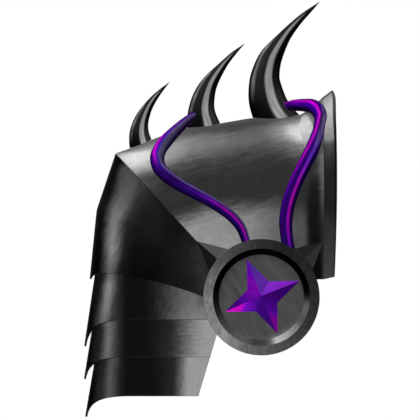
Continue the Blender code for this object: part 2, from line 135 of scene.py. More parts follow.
def addPiece(solid, points, faceSets, values=None, corners=None):
    # one closed mesh of the face sets, which stands for a CAD solid; it is turned the right way out: its
    # volume, a sixth of the sum of the triangles' triple products, must be positive
    points = points.reshape(-1, 3)
    volume = sum(np.einsum("ij,ij->i", points[f[:, 0]], np.cross(points[f[:, k]], points[f[:, k + 1]])).sum()
                 for f in faceSets for k in range(1, f.shape[1] - 1))
    outwards = lambda sets: [rows if volume > 0 else rows[:, ::-1] for rows in sets]
    name = solid.replace("_", "-")
    mesh = bpy.data.meshes.new(name)
    mesh.from_pydata(points.tolist(), [], [face for f in outwards(faceSets) for face in f.tolist()])
    for key, rows in (values or {}).items():
        store(mesh, key, "POINT", rows)
    for key, sets in (corners or {}).items():
        rows = [colours.reshape(-1, colours.shape[-1]) for colours in outwards(sets)]
        store(mesh, key, "CORNER", np.concatenate(rows))
    mesh.shade_smooth()
    mesh.update()
    piece = bpy.data.objects.new(name, mesh)
    bpy.context.scene.collection.objects.link(piece)
    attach(piece, "root")
    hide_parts(solid)
    return piece


def roundEdges(piece, width, segments=3, angle=40):
    # rounds the edges that turn by more than the angle, in degrees
    edge = piece.modifiers.new("rounded edges", "BEVEL")
    edge.width = width
    edge.segments = segments
    edge.limit_method = "ANGLE"
    edge.angle_limit = math.radians(angle)
    edge.harden_normals = True
    return piece


def strokesOver(u, v, ground, strokes):
    # tone, or colour, of a surface with painted light: a ground and soft strokes over it, which paint
    # highlights, reflections and shade. A stroke is its softness, then the rows of its path (u, v, half
    # width, value ...). It covers fully inside its half width and fades over its softness. Also gives how
    # ragged each point is: most where a stroke is half faded and changes the tone a lot. On plates u and v
    # are x and z in millimetres, so the back is painted as the front is
    ground = np.atleast_1d(np.asarray(ground, float))
    paint = np.broadcast_to(ground, u.shape + ground.shape).copy()
    ragged = np.zeros(u.shape)
    for soft, *path in strokes:
        path = np.array(path, float)
        best = np.full(u.shape, np.inf)
        row = np.zeros(u.shape + (path.shape[1] - 2,))
        for a, b in zip(path[:-1], path[1:]):
            d = b[:2] - a[:2]
            t = np.clip(((u - a[0]) * d[0] + (v - a[1]) * d[1]) / (d @ d), 0, 1)
            far = np.hypot(u - a[0] - t * d[0], v - a[1] - t * d[1])
            near = far < best
            best = np.where(near, far, best)
            row = np.where(near[..., None], mixed(a[2:], b[2:], t[..., None]), row)
        cover = smoothStep((row[..., 0] - best) / soft + 0.5)
        change = np.abs(row[..., 1:] - paint).mean(-1)
        ragged = np.maximum(ragged * (1 - cover), 4 * cover * (1 - cover) * change)
        paint = mixed(paint, row[..., 1:], cover[..., None])
    return paint, ragged


def plate(solid, outer, paint, fit=None):
    # a plate: its outer grid, the same grid moved in by the thickness along its normals, and a rim between
    # their borders; rim is the distance from the nearest border along the surface
    rows, columns = outer.shape[:2]
    normal = unit(np.cross(np.gradient(outer, axis=0), np.gradient(outer, axis=1)))
    if normal[0, columns // 2, 1] > 0:
        normal = -normal
    inner = outer - plateThickness * normal
    if fit is not None:
        inner = fit(inner)
    index = pointNumbers(rows, columns)
    border = np.concatenate([index[0, :-1], index[:-1, -1], index[-1, :0:-1], index[:0:-1, 0]])
    after = np.roll(border, -1)
    lift = rows * columns
    faces = [cells(index), cells(index)[:, ::-1] + lift,
             np.stack([border, border + lift, after + lift, after], -1)]
    down = np.cumsum(np.linalg.norm(np.diff(outer, axis=0, prepend=outer[:1]), axis=-1), 0)
    over = np.cumsum(np.linalg.norm(np.diff(outer, axis=1, prepend=outer[:, :1]), axis=-1), 1)
    rim = np.minimum(np.minimum(down, down[-1:] - down), np.minimum(over, over[:, -1:] - over))
    # the outer face's tone is a ground with painted reflections, highlights and shade over it
    tone, ragged = strokesOver(outer[..., 0] / mm, outer[..., 2] / mm, *paint)
    values = {"tone": np.concatenate([tone.ravel(), np.full(lift, insideTone)]),
              "ragged": np.concatenate([ragged.ravel(), np.zeros(lift)]),
              "rim": np.tile(rim.ravel(), 2)}
    points = np.concatenate([outer.reshape(-1, 3), inner.reshape(-1, 3)])
    return roundEdges(addPiece(solid, points, faces, values), edgeRound)


# the shoulder's surface

shoulder = {
    "ridge": ((-0.1092, -0.0287), (-0.0953, -0.0238), (-0.073, -0.0150), (-0.037, -0.0030),
              (-0.005, 0.0013), (0.028, 0.0067), (0.075, 0.0099)),      # x, z of the top line
    "rise": 0.090, "depth": 0.086,              # bowed part of the section; half of the front-to-back size
    "hem": ((0.0081, -0.1572), (0.0989, -0.1546)),
    "throat": (0.075, 0.0973), "throatRise": 0.0166,
    "throatPower": 1.3,                         # of its flare, and of its stations' spacing
    "bowSteps": 96, "wallSteps": 34, "lengthSteps": 120, "throatSteps": 24,
    "ground": 0.23,
}
flange = {
    "start": 0.4, "end": 0.1080,                # gaps past the throat; x of the neck edge
    "rise": 0.0249, "hemLift": 0.0022, "neckRound": 0.0021, "neckAngle": 24, "neckBow": 0.0016,
    "neckLean": 0.0017, "steps": 30, "ground": 0.19, "lineSoftness": 1.0,
}
mitre = {"x": -0.1092, "z": -0.0287, "fall": 1.09, "reach": 0.012, "margin": 0.01, "halvings": 40}


def shoulderPoint(x, angle, wall):
    # z is the bow's end plus the rise times the cosine of the angle, then runs straight down the wall to
    # the hem; y is minus the depth times the sine; both grow by the flare at the neck end, where x sways
    # a little with the height
    t0, t1 = shoulder["throat"]
    neck = np.clip((x - t0) / (t1 - t0), 0, 1)
    strip = np.clip((x - t1) / (flange["end"] - t1), 0, 1)
    flare = shoulder["throatRise"] * neck ** shoulder["throatPower"]
    flare = flare + (flange["rise"] - shoulder["throatRise"]) * strip
    ridge = smoothLine(shoulder["ridge"], np.minimum(x, t0))
    (hx0, hz0), (hx1, hz1) = shoulder["hem"]
    hem = mixed(hz0, hz1, (x - hx0) / (hx1 - hx0)) + flange["hemLift"] * strip
    z = ridge - shoulder["rise"] + (shoulder["rise"] + flare) * np.cos(angle)
    z = mixed(z, hem, wall)
    y = -(shoulder["depth"] + flare) * np.sin(angle) * np.ones_like(z)
    down = np.maximum(0, (ridge - z) / (ridge - hem))
    turnIn = 0.5 - 0.5 * np.cos(math.pi * np.minimum(1, angle / math.radians(flange["neckAngle"])))
    sway = flange["neckRound"] * turnIn + 4 * flange["neckBow"] * down * (1 - down)
    sway = sway - flange["neckLean"] * down
    return np.stack([x + sway * flare / flange["rise"], y, z], -1)


def creaseStart(angle, wall, shift):
    # where each row meets the mitre plane moved along x by the shift, by halving
    low = np.full(angle.shape, mitre["x"] - mitre["margin"])
    high = np.full(angle.shape, shoulder["hem"][0][0] + mitre["margin"])
    for _ in range(mitre["halvings"]):
        middle = 0.5 * (low + high)
        point = shoulderPoint(middle, angle, wall)
        below = point[..., 2] < mitre["z"] - mitre["fall"] * (point[..., 0] - shift - mitre["x"])
        low, high = np.where(below, middle, low), np.where(below, high, middle)
    return 0.5 * (low + high)


def onMitre(shift):
    # moves an inner wall's cut edge along x onto the mitre plane, fading over the reach
    def fit(inner):
        first = inner[:, :1]
        planeX = mitre["x"] + shift + (mitre["z"] - first[..., 2]) / mitre["fall"]
        away = np.linalg.norm(inner - first, axis=-1)
        move = (planeX - first[..., 0]) * np.clip(1 - away / mitre["reach"], 0, 1)
        return inner + move[..., None] * (1, 0, 0)
    return fit


# painted reflections, highlights and shade on the shoulder plate
shoulderPaintedLight = [     # softness, then x, z, half width, all in millimetres, and tone
    # a painted reflection: the broad light band below the ridge, then a painted shade line along the ridge
    # itself
    (44, (-100, -36, 18, 0.56), (-60, -26, 18, 0.58), (-28, -19, 18, 0.53), (15, -16, 17, 0.41),
     (40, -12, 16, 0.42), (60, -10, 16, 0.56), (78, -12, 15, 0.72)),
    (22, (-98, -50, 10, 0.46), (-75, -60, 8, 0.34)),
    (10, (-110, -29, 2, 0.32), (-85, -21, 1, 0.38), (-60, -12, 5, 0.32), (-24, -2, 6, 0.20),
     (5, 2, 8, 0.13), (36, 7, 6, 0.14), (58, 9, 3, 0.24), (74, 10.5, 2, 0.32)),
    # a painted highlight: the bright patch below the peak, crisp above and soft below
    (14, (-106, -36, 7, 0.72), (-90, -38, 10, 0.76), (-74, -37, 9, 0.68), (-58, -32, 6, 0.62),
     (-44, -27, 4, 0.56)),
    (4, (-107, -32.5, 3.5, 0.78), (-90, -33.5, 5.5, 0.80), (-76, -31, 5, 0.76), (-66, -28, 3, 0.70)),
    # painted reflections: rays towards the neck, and the pale hollow of the throat
    (12, (42, -8, 3, 0.46), (56, -6, 6, 0.60), (66, -6, 7, 0.84), (74, -7, 9, 0.88)),
    (1.2, (80.5, 6, 4, 0.73), (82.5, -6, 7.5, 0.71), (84, -20, 5, 0.68)),
    # a painted reflection on the wall below: light, flat at its lower left and clouded to the right
    (27, (-52, -121, 20, 0.66), (-30, -112, 21, 0.68), (-6, -104.5, 21.2, 0.66), (16, -103, 20.5, 0.64),
     (26, -103, 20.8, 0.62), (48, -104, 25, 0.49), (64, -108, 20, 0.45)),
    (16, (-30, -121, 12, 0.69), (10, -126, 12, 0.70)),
    # painted shade down the throat's bend, then painted light and shade along the neck end
    (10, (73, -66, 4, 0.20), (74, -80, 6, 0.27), (75, -92, 6, 0.36), (75, -105, 6, 0.38),
     (73, -130, 6, 0.37)),
    (7, (90.5, -45, 2, 0.30), (89.5, -60, 5, 0.18), (89, -80, 6, 0.15), (89, -108, 6, 0.14),
     (90.5, -128, 6, 0.11), (91.5, -160, 6, 0.09)),
    (2, (98.2, 34, 2, 0.66), (98.2, 12, 2, 0.66)),
    (7, (98.5, -25, 2, 0.44), (98.5, -32, 4.5, 0.52), (98.5, -45, 5, 0.50), (98.5, -56, 3.5, 0.48),
     (98.5, -70, 2.7, 0.45), (98.5, -85, 2.4, 0.36), (98.5, -100, 1.6, 0.26), (98.5, -130, 0.5, 0.22),
     (98.5, -160, 0.5, 0.24)),
]

halfGap = 0.5 * gap * math.hypot(1, mitre["fall"]) / mitre["fall"]      # along x, from the mitre plane
angle, wall = sectionRows(shoulder)
start = creaseStart(angle, wall, halfGap)
share = np.linspace(0, 1, shoulder["lengthSteps"] + 1)[None, :-1]
t0, t1 = shoulder["throat"]
throatShare = np.linspace(0, 1, shoulder["throatSteps"] + 1) ** shoulder["throatPower"]
stations = np.hstack([mixed(start, t0, share),
                      np.broadcast_to(mixed(t0, t1, throatShare), (len(angle), len(throatShare)))])
shoulderPlate = plate("shoulder_plate", bothSides(shoulderPoint(stations, angle, wall)),
                      (shoulder["ground"], shoulderPaintedLight), onMitre(halfGap))

stations = mixed(t1 + flange["start"] * gap, flange["end"], np.linspace(0, 1, flange["steps"] + 1))[None, :]
flangePaintedLight = [
    # a painted reflection on the flange: light at its top, darker below
    (16, (103, 0, 12, 0.40), (103, -22, 10, 0.36), (103, -36, 6, 0.26)),
    (6, (103, 40, 15, 0.72), (103, 18, 13, 0.68), (103, -6, 12, 0.62)),
    (20, (103, -98, 8, 0.26), (103, -118, 10, 0.29), (103, -150, 10, 0.35)),
]
flangeGrid = bothSides(shoulderPoint(stations, angle, wall))
half = len(flangeGrid) // 2
# a painted highlight line where it meets the shoulder plate, and painted shade lines up its neck edge and
# along its ridge, each given by heights, half widths and tones
for edge, rows in (
        (flangeGrid[:half:6, 0], ((-155, 0.0, 0.27), (-100, 0.0, 0.31), (-70, 0.0, 0.42), (-52, 0.0, 0.40),
                                  (-40, -4, 0.4), (40, -4, 0.4))),
        (flangeGrid[:half:6, -1], ((-155, -2, 0.3), (-110, -2, 0.3), (-98, 1.2, 0.10), (-10, 1.2, 0.09),
                                   (2, 2.0, 0.20), (40, 2.0, 0.22))),
        (flangeGrid[half], ((0, 1.6, 0.14), (50, 1.6, 0.14)))):
    heights, *values = np.array(rows).T
    path = [(x, z, *(np.interp(z, heights, value) for value in values)) for x, _, z in edge / mm]
    flangePaintedLight.append((flange["lineSoftness"], *path))
neckFlange = plate("neck_flange", flangeGrid, (flange["ground"], flangePaintedLight))
print("shoulder plate and neck flange made")


# the arm plate and the lames

arm = {
    "corner": (-0.1284, -0.0860), "tip": (-0.1353, -0.1550),
    "rise": 0.097, "depth": 0.0765,
    "hem": (-0.130, -0.1470, 0.08, 1.4),        # x0, z at x0, slope, slope gained per metre
    "tipDrop": 0.0082, "cornerSoftness": 0.06, "frontBow": 0.25,
    "cutEdge": (-0.008, -0.2107, 0.30),         # x, z, x gained per metre of z
    "tipAngle": 62, "tipPower": 2.8,
    "steps": 60, "bowSteps": 90, "wallSteps": 16,
    "ground": 0.125,
}
armPaintedLight = [
    # painted reflections: a lighter inner corner, then the painted highlight stripe down the front: its wide
    # soft side and its core
    (50, (-24, -130, 10, 0.25), (-18, -165, 12, 0.22)),
    (20, (-83, -58, 9, 0.30), (-80, -75, 13, 0.20), (-78, -92, 18, 0.16), (-78, -108, 18, 0.15),
     (-78, -125, 18, 0.12), (-78, -150, 18, 0.085)),
    (24, (-92, -50, 10, 0.37), (-98, -72, 11, 0.33), (-104, -92, 10, 0.32), (-107, -115, 8, 0.28),
     (-109, -145, 5, 0.20)),
    (14, (-96, -49, 9, 0.47), (-98, -62, 10, 0.48), (-102, -74, 9, 0.53), (-107, -85, 8.5, 0.62),
     (-111.5, -95, 7.5, 0.74), (-112.5, -105, 7.5, 0.74), (-113, -125, 7.5, 0.76),
     (-114.5, -137, 6.5, 0.66), (-115.5, -150, 6, 0.55)),
    (12, (-115, -40, 6, 0.20), (-127.6, -91, 5, 0.24), (-131, -120, 4, 0.22), (-135, -150, 3, 0.22)),
]


def tipDrop(angle, drop):
    # the pointed tip of a hem: deepest on the outer line, gone at the tip angle
    return drop * np.maximum(0, 1 - angle / math.radians(arm["tipAngle"])) ** arm["tipPower"]


def cutEdgeX(z):
    # the inner ends of the arm plate and the lames lie on a leaning line: x plus the lean times the height
    x, z0, lean = arm["cutEdge"]
    return x + lean * (z - z0)


def armHemZ(x):
    # z less the slope times the distance from x0 and the gain times its square
    x0, z0, slope, gain = arm["hem"]
    return z0 - slope * (x - x0) - gain * (x - x0) ** 2


def softLeast(a, b):
    # the lesser of two values, rounded where they cross
    return 0.5 * (a + b - np.sqrt((a - b) ** 2 + arm["cornerSoftness"] ** 2))


def armPoint(angle, wall, share):
    # straight from the crease (share 0) to the hem (share 1), bowed out to a soft corner on the outer line
    crease = shoulderPoint(creaseStart(angle, wall, -halfGap), angle, wall)
    bowX = arm["tip"][0] + arm["rise"] * (1 - np.cos(angle))
    hemX = mixed(bowX, cutEdgeX(armHemZ(0.0)), wall)
    hem = np.stack([hemX, -arm["depth"] * np.sin(angle), armHemZ(hemX) - tipDrop(angle, arm["tipDrop"])], -1)
    point = mixed(crease, hem, share[..., None])
    corner = (mitre["z"] - arm["corner"][1]) / (mitre["z"] - arm["tip"][1])
    fall, rise = 1 / (1 - corner), 1 / corner
    ends = mixed(softLeast(0.0, fall), softLeast(rise, 0.0), share)
    bow = softLeast(share * rise, (1 - share) * fall) - ends
    bow = bow * (mixed(mitre["x"], arm["tip"][0], corner) - arm["corner"][0])
    point[..., 0] -= bow * np.cos(angle) ** 2
    point[..., 1] -= bow * arm["frontBow"] * np.sin(angle) * (1 - wall)
    return point


angle, wall = sectionRows(arm)
armGrid = bothSides(armPoint(angle, wall, np.linspace(0, 1, arm["steps"] + 1)[None, :]))
armPlate = plate("arm_plate", armGrid, (arm["ground"], armPaintedLight), onMitre(-halfGap))

# millimetres: the outer line's upper x and z, the tip's x and z, the hem's z, and the half depths at the top
# and the hem
lameRows = {
    "lame_upper": (-130.5, -152.3, -140.9, -222.3, -195.0, 72.0, 74.0),
    "lame_middle": (-133.3, -206.8, -141.1, -255.1, -232.5, 70.3, 73.0),
    "lame_lower": (-130.8, -239.0, -139.9, -292.9, -271.5, 69.3, 72.0),
}
lames = {"tuck": 0.012, "steps": 36, "bowSteps": 90, "wallSteps": 6, "ground": 0.11}
# painted reflections on each lame: its broad light side and what lies on it, its left margin, then the
# painted highlight stripe and the stripe's core
lamePaintedLight = {
    "lame_upper": [
        (56, (-12, -150, 42.5, 0.47), (-12, -172, 42.5, 0.50), (-12, -200, 42.5, 0.60)),
        (14, (-20, -160, 6, 0.38), (-22, -178, 3, 0.38)),
        (10, (-127, -150, 4, 0.22), (-130, -205, 4, 0.24)),
        (16, (-108, -150, 4, 0.32), (-110, -200, 4, 0.32)),
        (10, (-115, -150, 5, 0.62), (-116.2, -162, 5.5, 0.74), (-117.4, -172, 5.5, 0.74),
         (-118.8, -181, 5.5, 0.70), (-120.6, -192, 6, 0.64), (-121.8, -200, 6, 0.62)),
    ],
    "lame_middle": [
        (52, (0, -190, 41.5, 0.71), (0, -222, 43, 0.71), (0, -240, 47.5, 0.72)),
        (30, (-60, -190, 6, 0.18), (-60, -240, 6, 0.20)),
        (10, (-127.5, -195, 5, 0.24), (-129.5, -240, 5, 0.26)),
        (16, (-109, -195, 4, 0.33), (-109, -236, 4, 0.30)),
        (11, (-116.6, -195, 6.2, 0.60), (-116.2, -208, 5.5, 0.60), (-117.1, -221, 5.5, 0.60),
         (-118.2, -236, 6, 0.56)),
    ],
    "lame_lower": [
        (30, (0, -230, 60, 0.20), (0, -280, 60, 0.20)),
        (18, (-5, -230, 37.5, 0.71), (-8, -275, 37, 0.71)),
        (10, (-125, -230, 5, 0.24), (-127, -285, 5, 0.28)),
        (16, (-108, -230, 4, 0.27), (-109, -280, 4, 0.25)),
        (12, (-113.2, -230, 5.5, 0.46), (-115, -248, 5.5, 0.48), (-115.8, -260, 5.5, 0.48),
         (-116, -280, 5.5, 0.46)),
    ],
}


def lamePoint(row, angle, wall, z, topZ):
    # x is the leaning outer line plus the rise times one minus the cosine, then straight to the cut edge;
    # the half depth grows evenly from the top to the hem
    lineX, lineZ, tipX, tipZ, hem, depthTop, depthHem = row
    outer = lineX + (tipX - lineX) / (tipZ - lineZ) * (z - lineZ)
    x = mixed(outer + arm["rise"] * (1 - np.cos(angle)), cutEdgeX(z), wall)
    y = -mixed(depthTop, depthHem, (topZ - z) / (topZ - hem)) * np.sin(angle)
    return np.stack([x, y, z], -1)


angle, wall = sectionRows(lames)
share = np.linspace(0, 1, lames["steps"] + 1)[None, :]
upperEdge = armHemZ
lamePieces = []
for solid, row in lameRows.items():
    row = mm * np.array(row)
    tipZ, hemZ = row[3:5]
    topZ = upperEdge(0.0) + lames["tuck"]
    across = lamePoint(row, angle, wall, hemZ * np.ones_like(angle), topZ)[..., 0]
    upper = upperEdge(across) + lames["tuck"]
    z = mixed(upper, hemZ - tipDrop(angle, hemZ - tipZ), share)
    lamePieces.append(plate(solid, bothSides(lamePoint(row, angle, wall, z, topZ)),
                            (lames["ground"], lamePaintedLight[solid])))
    upperEdge = lambda x, hemZ=hemZ: hemZ + 0 * x
print("arm plate and lames made")


# round pieces: horns and rods

def throughPoints(knots, perSpan):
    # a smooth curve through the knots: each span is the cubic whose end slopes are half the step between
    # the neighbours of each end
    p = np.array(knots)
    p = np.concatenate([p[:1], p, p[-1:]])
    t = np.linspace(0, 1, perSpan, endpoint=False)[None, :, None]
    p0, p1, p2, p3 = (p[k:len(p) - 3 + k, None] for k in range(4))
    curve = 0.5 * (2 * p1 + (p2 - p0) * t + (2 * p0 - 5 * p1 + 4 * p2 - p3) * t**2
                   + (3 * p1 - p0 - 3 * p2 + p3) * t**3)
    return np.concatenate([curve.reshape(-1, p.shape[1]), p[-1:]])


def tube(centres, side, back, piece, clearance):
    # sections round the path: a centre plus the cosine of the turn times its side vector plus the sine
    # times its back vector; each line along the tube starts where the clearance from its neighbour turns
    # positive. Gives points, faces, the share along the path, and the cosine: which side of the tube
    steps, stations = piece["steps"], piece["stations"]
    turn = np.linspace(0, 2 * math.pi, steps, endpoint=False)[:, None]
    share = np.concatenate([[0], np.cumsum(np.linalg.norm(np.diff(centres, axis=0), axis=1))])
    share = share / share[-1]

    def surface(s):
        pick = lambda v: np.stack([np.interp(s, share, v[:, k]) for k in range(3)], -1)
        return pick(centres) + np.cos(turn) * pick(side) + np.sin(turn) * pick(back)

    near = clearance(surface(np.broadcast_to(share[:, None], (len(share), steps))))
    inside = near < 0
    last = np.where(inside.any(0), len(share) - 1 - inside[::-1].argmax(0), 0)
    following = np.minimum(last + 1, len(share) - 1)
    before, after = near[last, np.arange(steps)], near[following, np.arange(steps)]
    crossing = np.where(before < 0, -before / np.maximum(after - before, 1e-9), 0)
    begin = share[last] + (share[following] - share[last]) * crossing
    along = mixed(begin[None, :], 1.0, np.linspace(0, 1, stations)[:, None])
    return (surface(along), roundCells(pointNumbers(stations, steps)), along,
            np.broadcast_to(np.cos(turn[:, 0]), along.shape))


horns = {
    "steps": 96, "stations": 160, "perSpan": 24, "depth": 0.94,
    "tipRadius": 0.00015, "tipReach": 0.0002, "swell": 0.0004, "mostSwell": 0.25,
    "footRings": (0.75, 0.5, 0.25),         # sizes of the rings that close the foot
    # tone: a ground, then strokes of painted highlight and shade on ten times the share along the horn
    # against the way across it, from -1 at its right edge to 1 at its left
    "ground": 0.13,
    "strokes": [
        (0.4, (0.6, 0.5, 0.35, 0.08), (1.5, 0.5, 0.35, 0.10), (2.5, 0.5, 0.35, 0.16),
         (4, 0.55, 0.3, 0.20), (7, 0.6, 0.25, 0.22), (9, 0.7, 0.3, 0.24)),
        (0.24, (1.9, 0.82, 0.05, 0.24), (2.5, 0.79, 0.09, 0.52), (3.3, 0.76, 0.11, 0.66),
         (4, 0.75, 0.1, 0.54), (4.7, 0.78, 0.11, 0.58), (5.5, 0.84, 0.1, 0.60), (6.2, 0.94, 0.07, 0.46),
         (7, 1.02, 0.05, 0.15)),
        (0.4, (0.6, -0.75, 0.25, 0.36), (1.5, -0.75, 0.25, 0.35), (2.4, -0.75, 0.25, 0.26),
         (3.5, -0.8, 0.2, 0.18), (5, -0.7, 0.2, 0.11), (8, -0.5, 0.3, 0.09)),
        (0.18, (0.6, -0.25, 0.25, 0.74), (2, -0.25, 0.25, 0.69), (3.5, -0.22, 0.25, 0.65),
         (4.5, -0.17, 0.25, 0.65), (5.5, -0.07, 0.25, 0.64), (6.3, 0.01, 0.25, 0.64),
         (7.2, 0.14, 0.26, 0.62), (8, 0.2, 0.25, 0.56), (8.7, 0.22, 0.15, 0.42)),
        (0.14, (0.7, -0.38, 0.06, 0.98), (2.2, -0.4, 0.06, 0.91), (3.4, -0.42, 0.04, 0.76),
         (4.4, -0.33, 0.03, 0.66)),
        (0.4, (8.4, 0.9, 0.12, 0.22), (9.7, 0.6, 0.3, 0.36)),
        (0.08, (1, 1, 0.05, 0.04), (6, 1, 0.07, 0.04), (9.5, 1, 0.16, 0.05)),
        (0.08, (6, -1, 0.04, 0.03), (9.5, -1, 0.1, 0.03)),
    ],
    # a painted highlight by the foot of the two smaller horns
    "footHighlight": (0.2, (1.1, 0.82, 0.06, 0.26), (1.6, 0.8, 0.08, 0.44), (2.3, 0.79, 0.09, 0.60)),
    # millimetres, from below the foot to near the tip: x, z of the left outline and x, z of the right; then
    # the tip's x, z
    "horn_small": ((-94.1, -27.6, -69.1, -22.6), (-95.4, -16.6, -74.1, -13.6),
                   (-94.3, -4.6, -76.6, -5.6), (-88.7, 8.9, -76.5, 3.4), (-79.3, 21.6, -72.4, 16.9),
                   (-68.9, 32, -65, 29.8), (-55.6, 42.4)),
    "horn_middle": ((-38.6, -9.6, 1.4, -6.6), (-37.3, 4.4, -4.9, 1.9), (-35.6, 16.9, -10, 14.4),
                    (-30.5, 31.9, -10.4, 25.4), (-20.5, 46.9, -7.5, 39.4), (-4.3, 62.1, 1.4, 57.5),
                    (7.2, 72.2, 10.4, 70.1), (19.7, 80.9)),
    "horn_large": ((31.9, -2.6, 84.4, 0.4), (28.3, 7.9, 69.4, 15.4), (24.6, 23.4, 62, 26),
                   (24.9, 41.4, 56.2, 41.4), (28.4, 55.9, 54.8, 50), (37.5, 73.9, 57.1, 64.5),
                   (55.7, 92.1, 64.8, 84.4), (68.9, 104.2, 74.4, 99), (79.6, 112.7, 83.5, 109.8),
                   (95, 122.8)),
}


def hornSections(solid):
    # smooth curves through the pairs of outline points; a section's centre lies halfway between the two
    # outlines, its side vector is half the way from right to left, lengthened by the swell except near the
    # tip, and its back vector points along Y
    *pairs, (tipX, tipZ) = horns[solid]
    r = horns["tipRadius"] / mm
    line = mm * throughPoints(pairs + [(tipX - r, tipZ + r, tipX + r, tipZ - r)], horns["perSpan"])
    left, right = (np.stack([line[:, k], 0 * line[:, k], line[:, k + 1]], -1) for k in (0, 2))
    radius = 0.5 * np.linalg.norm(left - right, axis=-1, keepdims=True)
    side = 0.5 * (left - right) * (1 + np.minimum(horns["swell"] / radius, horns["mostSwell"]))
    radius = np.linalg.norm(side, axis=-1, keepdims=True)
    return 0.5 * (left + right), side, radius * (0, horns["depth"], 0)


def overShoulder(points):
    # how far a point stands above the shoulder's bowed top and the gap over it
    sine = np.clip(points[..., 1] / shoulder["depth"], -1, 1)
    top = smoothLine(shoulder["ridge"], points[..., 0]) - shoulder["rise"] * (1 - np.sqrt(1 - sine**2))
    return points[..., 2] - top - gap


hornPieces = []
for solid in ("horn_small", "horn_middle", "horn_large"):
    body, faces, along, across = tube(*hornSections(solid), horns, overShoulder)
    steps = horns["steps"]
    middle = body[0].mean(0)
    rings = [middle + (body[0] - middle) * size for size in horns["footRings"]] + [middle[None]]
    for ring in rings:
        ring[:, 2] -= overShoulder(ring)
    tip = body[-1].mean(0)[None] + horns["tipReach"] * np.array((1, 0, 1))
    onBody, count = len(body) * steps, len(rings) - 1
    footIndex = np.vstack([np.arange(steps), onBody + pointNumbers(count, steps)])
    tipRing = onBody - steps + np.arange(steps)
    pole = onBody + count * steps
    faceSets = [faces, roundCells(footIndex)[:, ::-1], fan(footIndex[-1], pole),
                fan(tipRing, pole + 1)[:, ::-1]]
    strokes = horns["strokes"] + [horns["footHighlight"]] * (solid != "horn_large")
    tone, _ = strokesOver(10 * along, across, horns["ground"], strokes)
    values = {key: np.concatenate([value.ravel(), np.full(count * steps + 1, value[0, 0]), value[-1:, 0]])
              for key, value in (("tone", tone[..., 0]), ("across", across), ("along", along))}
    points = np.concatenate([body.reshape(-1, 3)] + rings + [tip])
    hornPieces.append(addPiece(solid, points, faceSets, values))

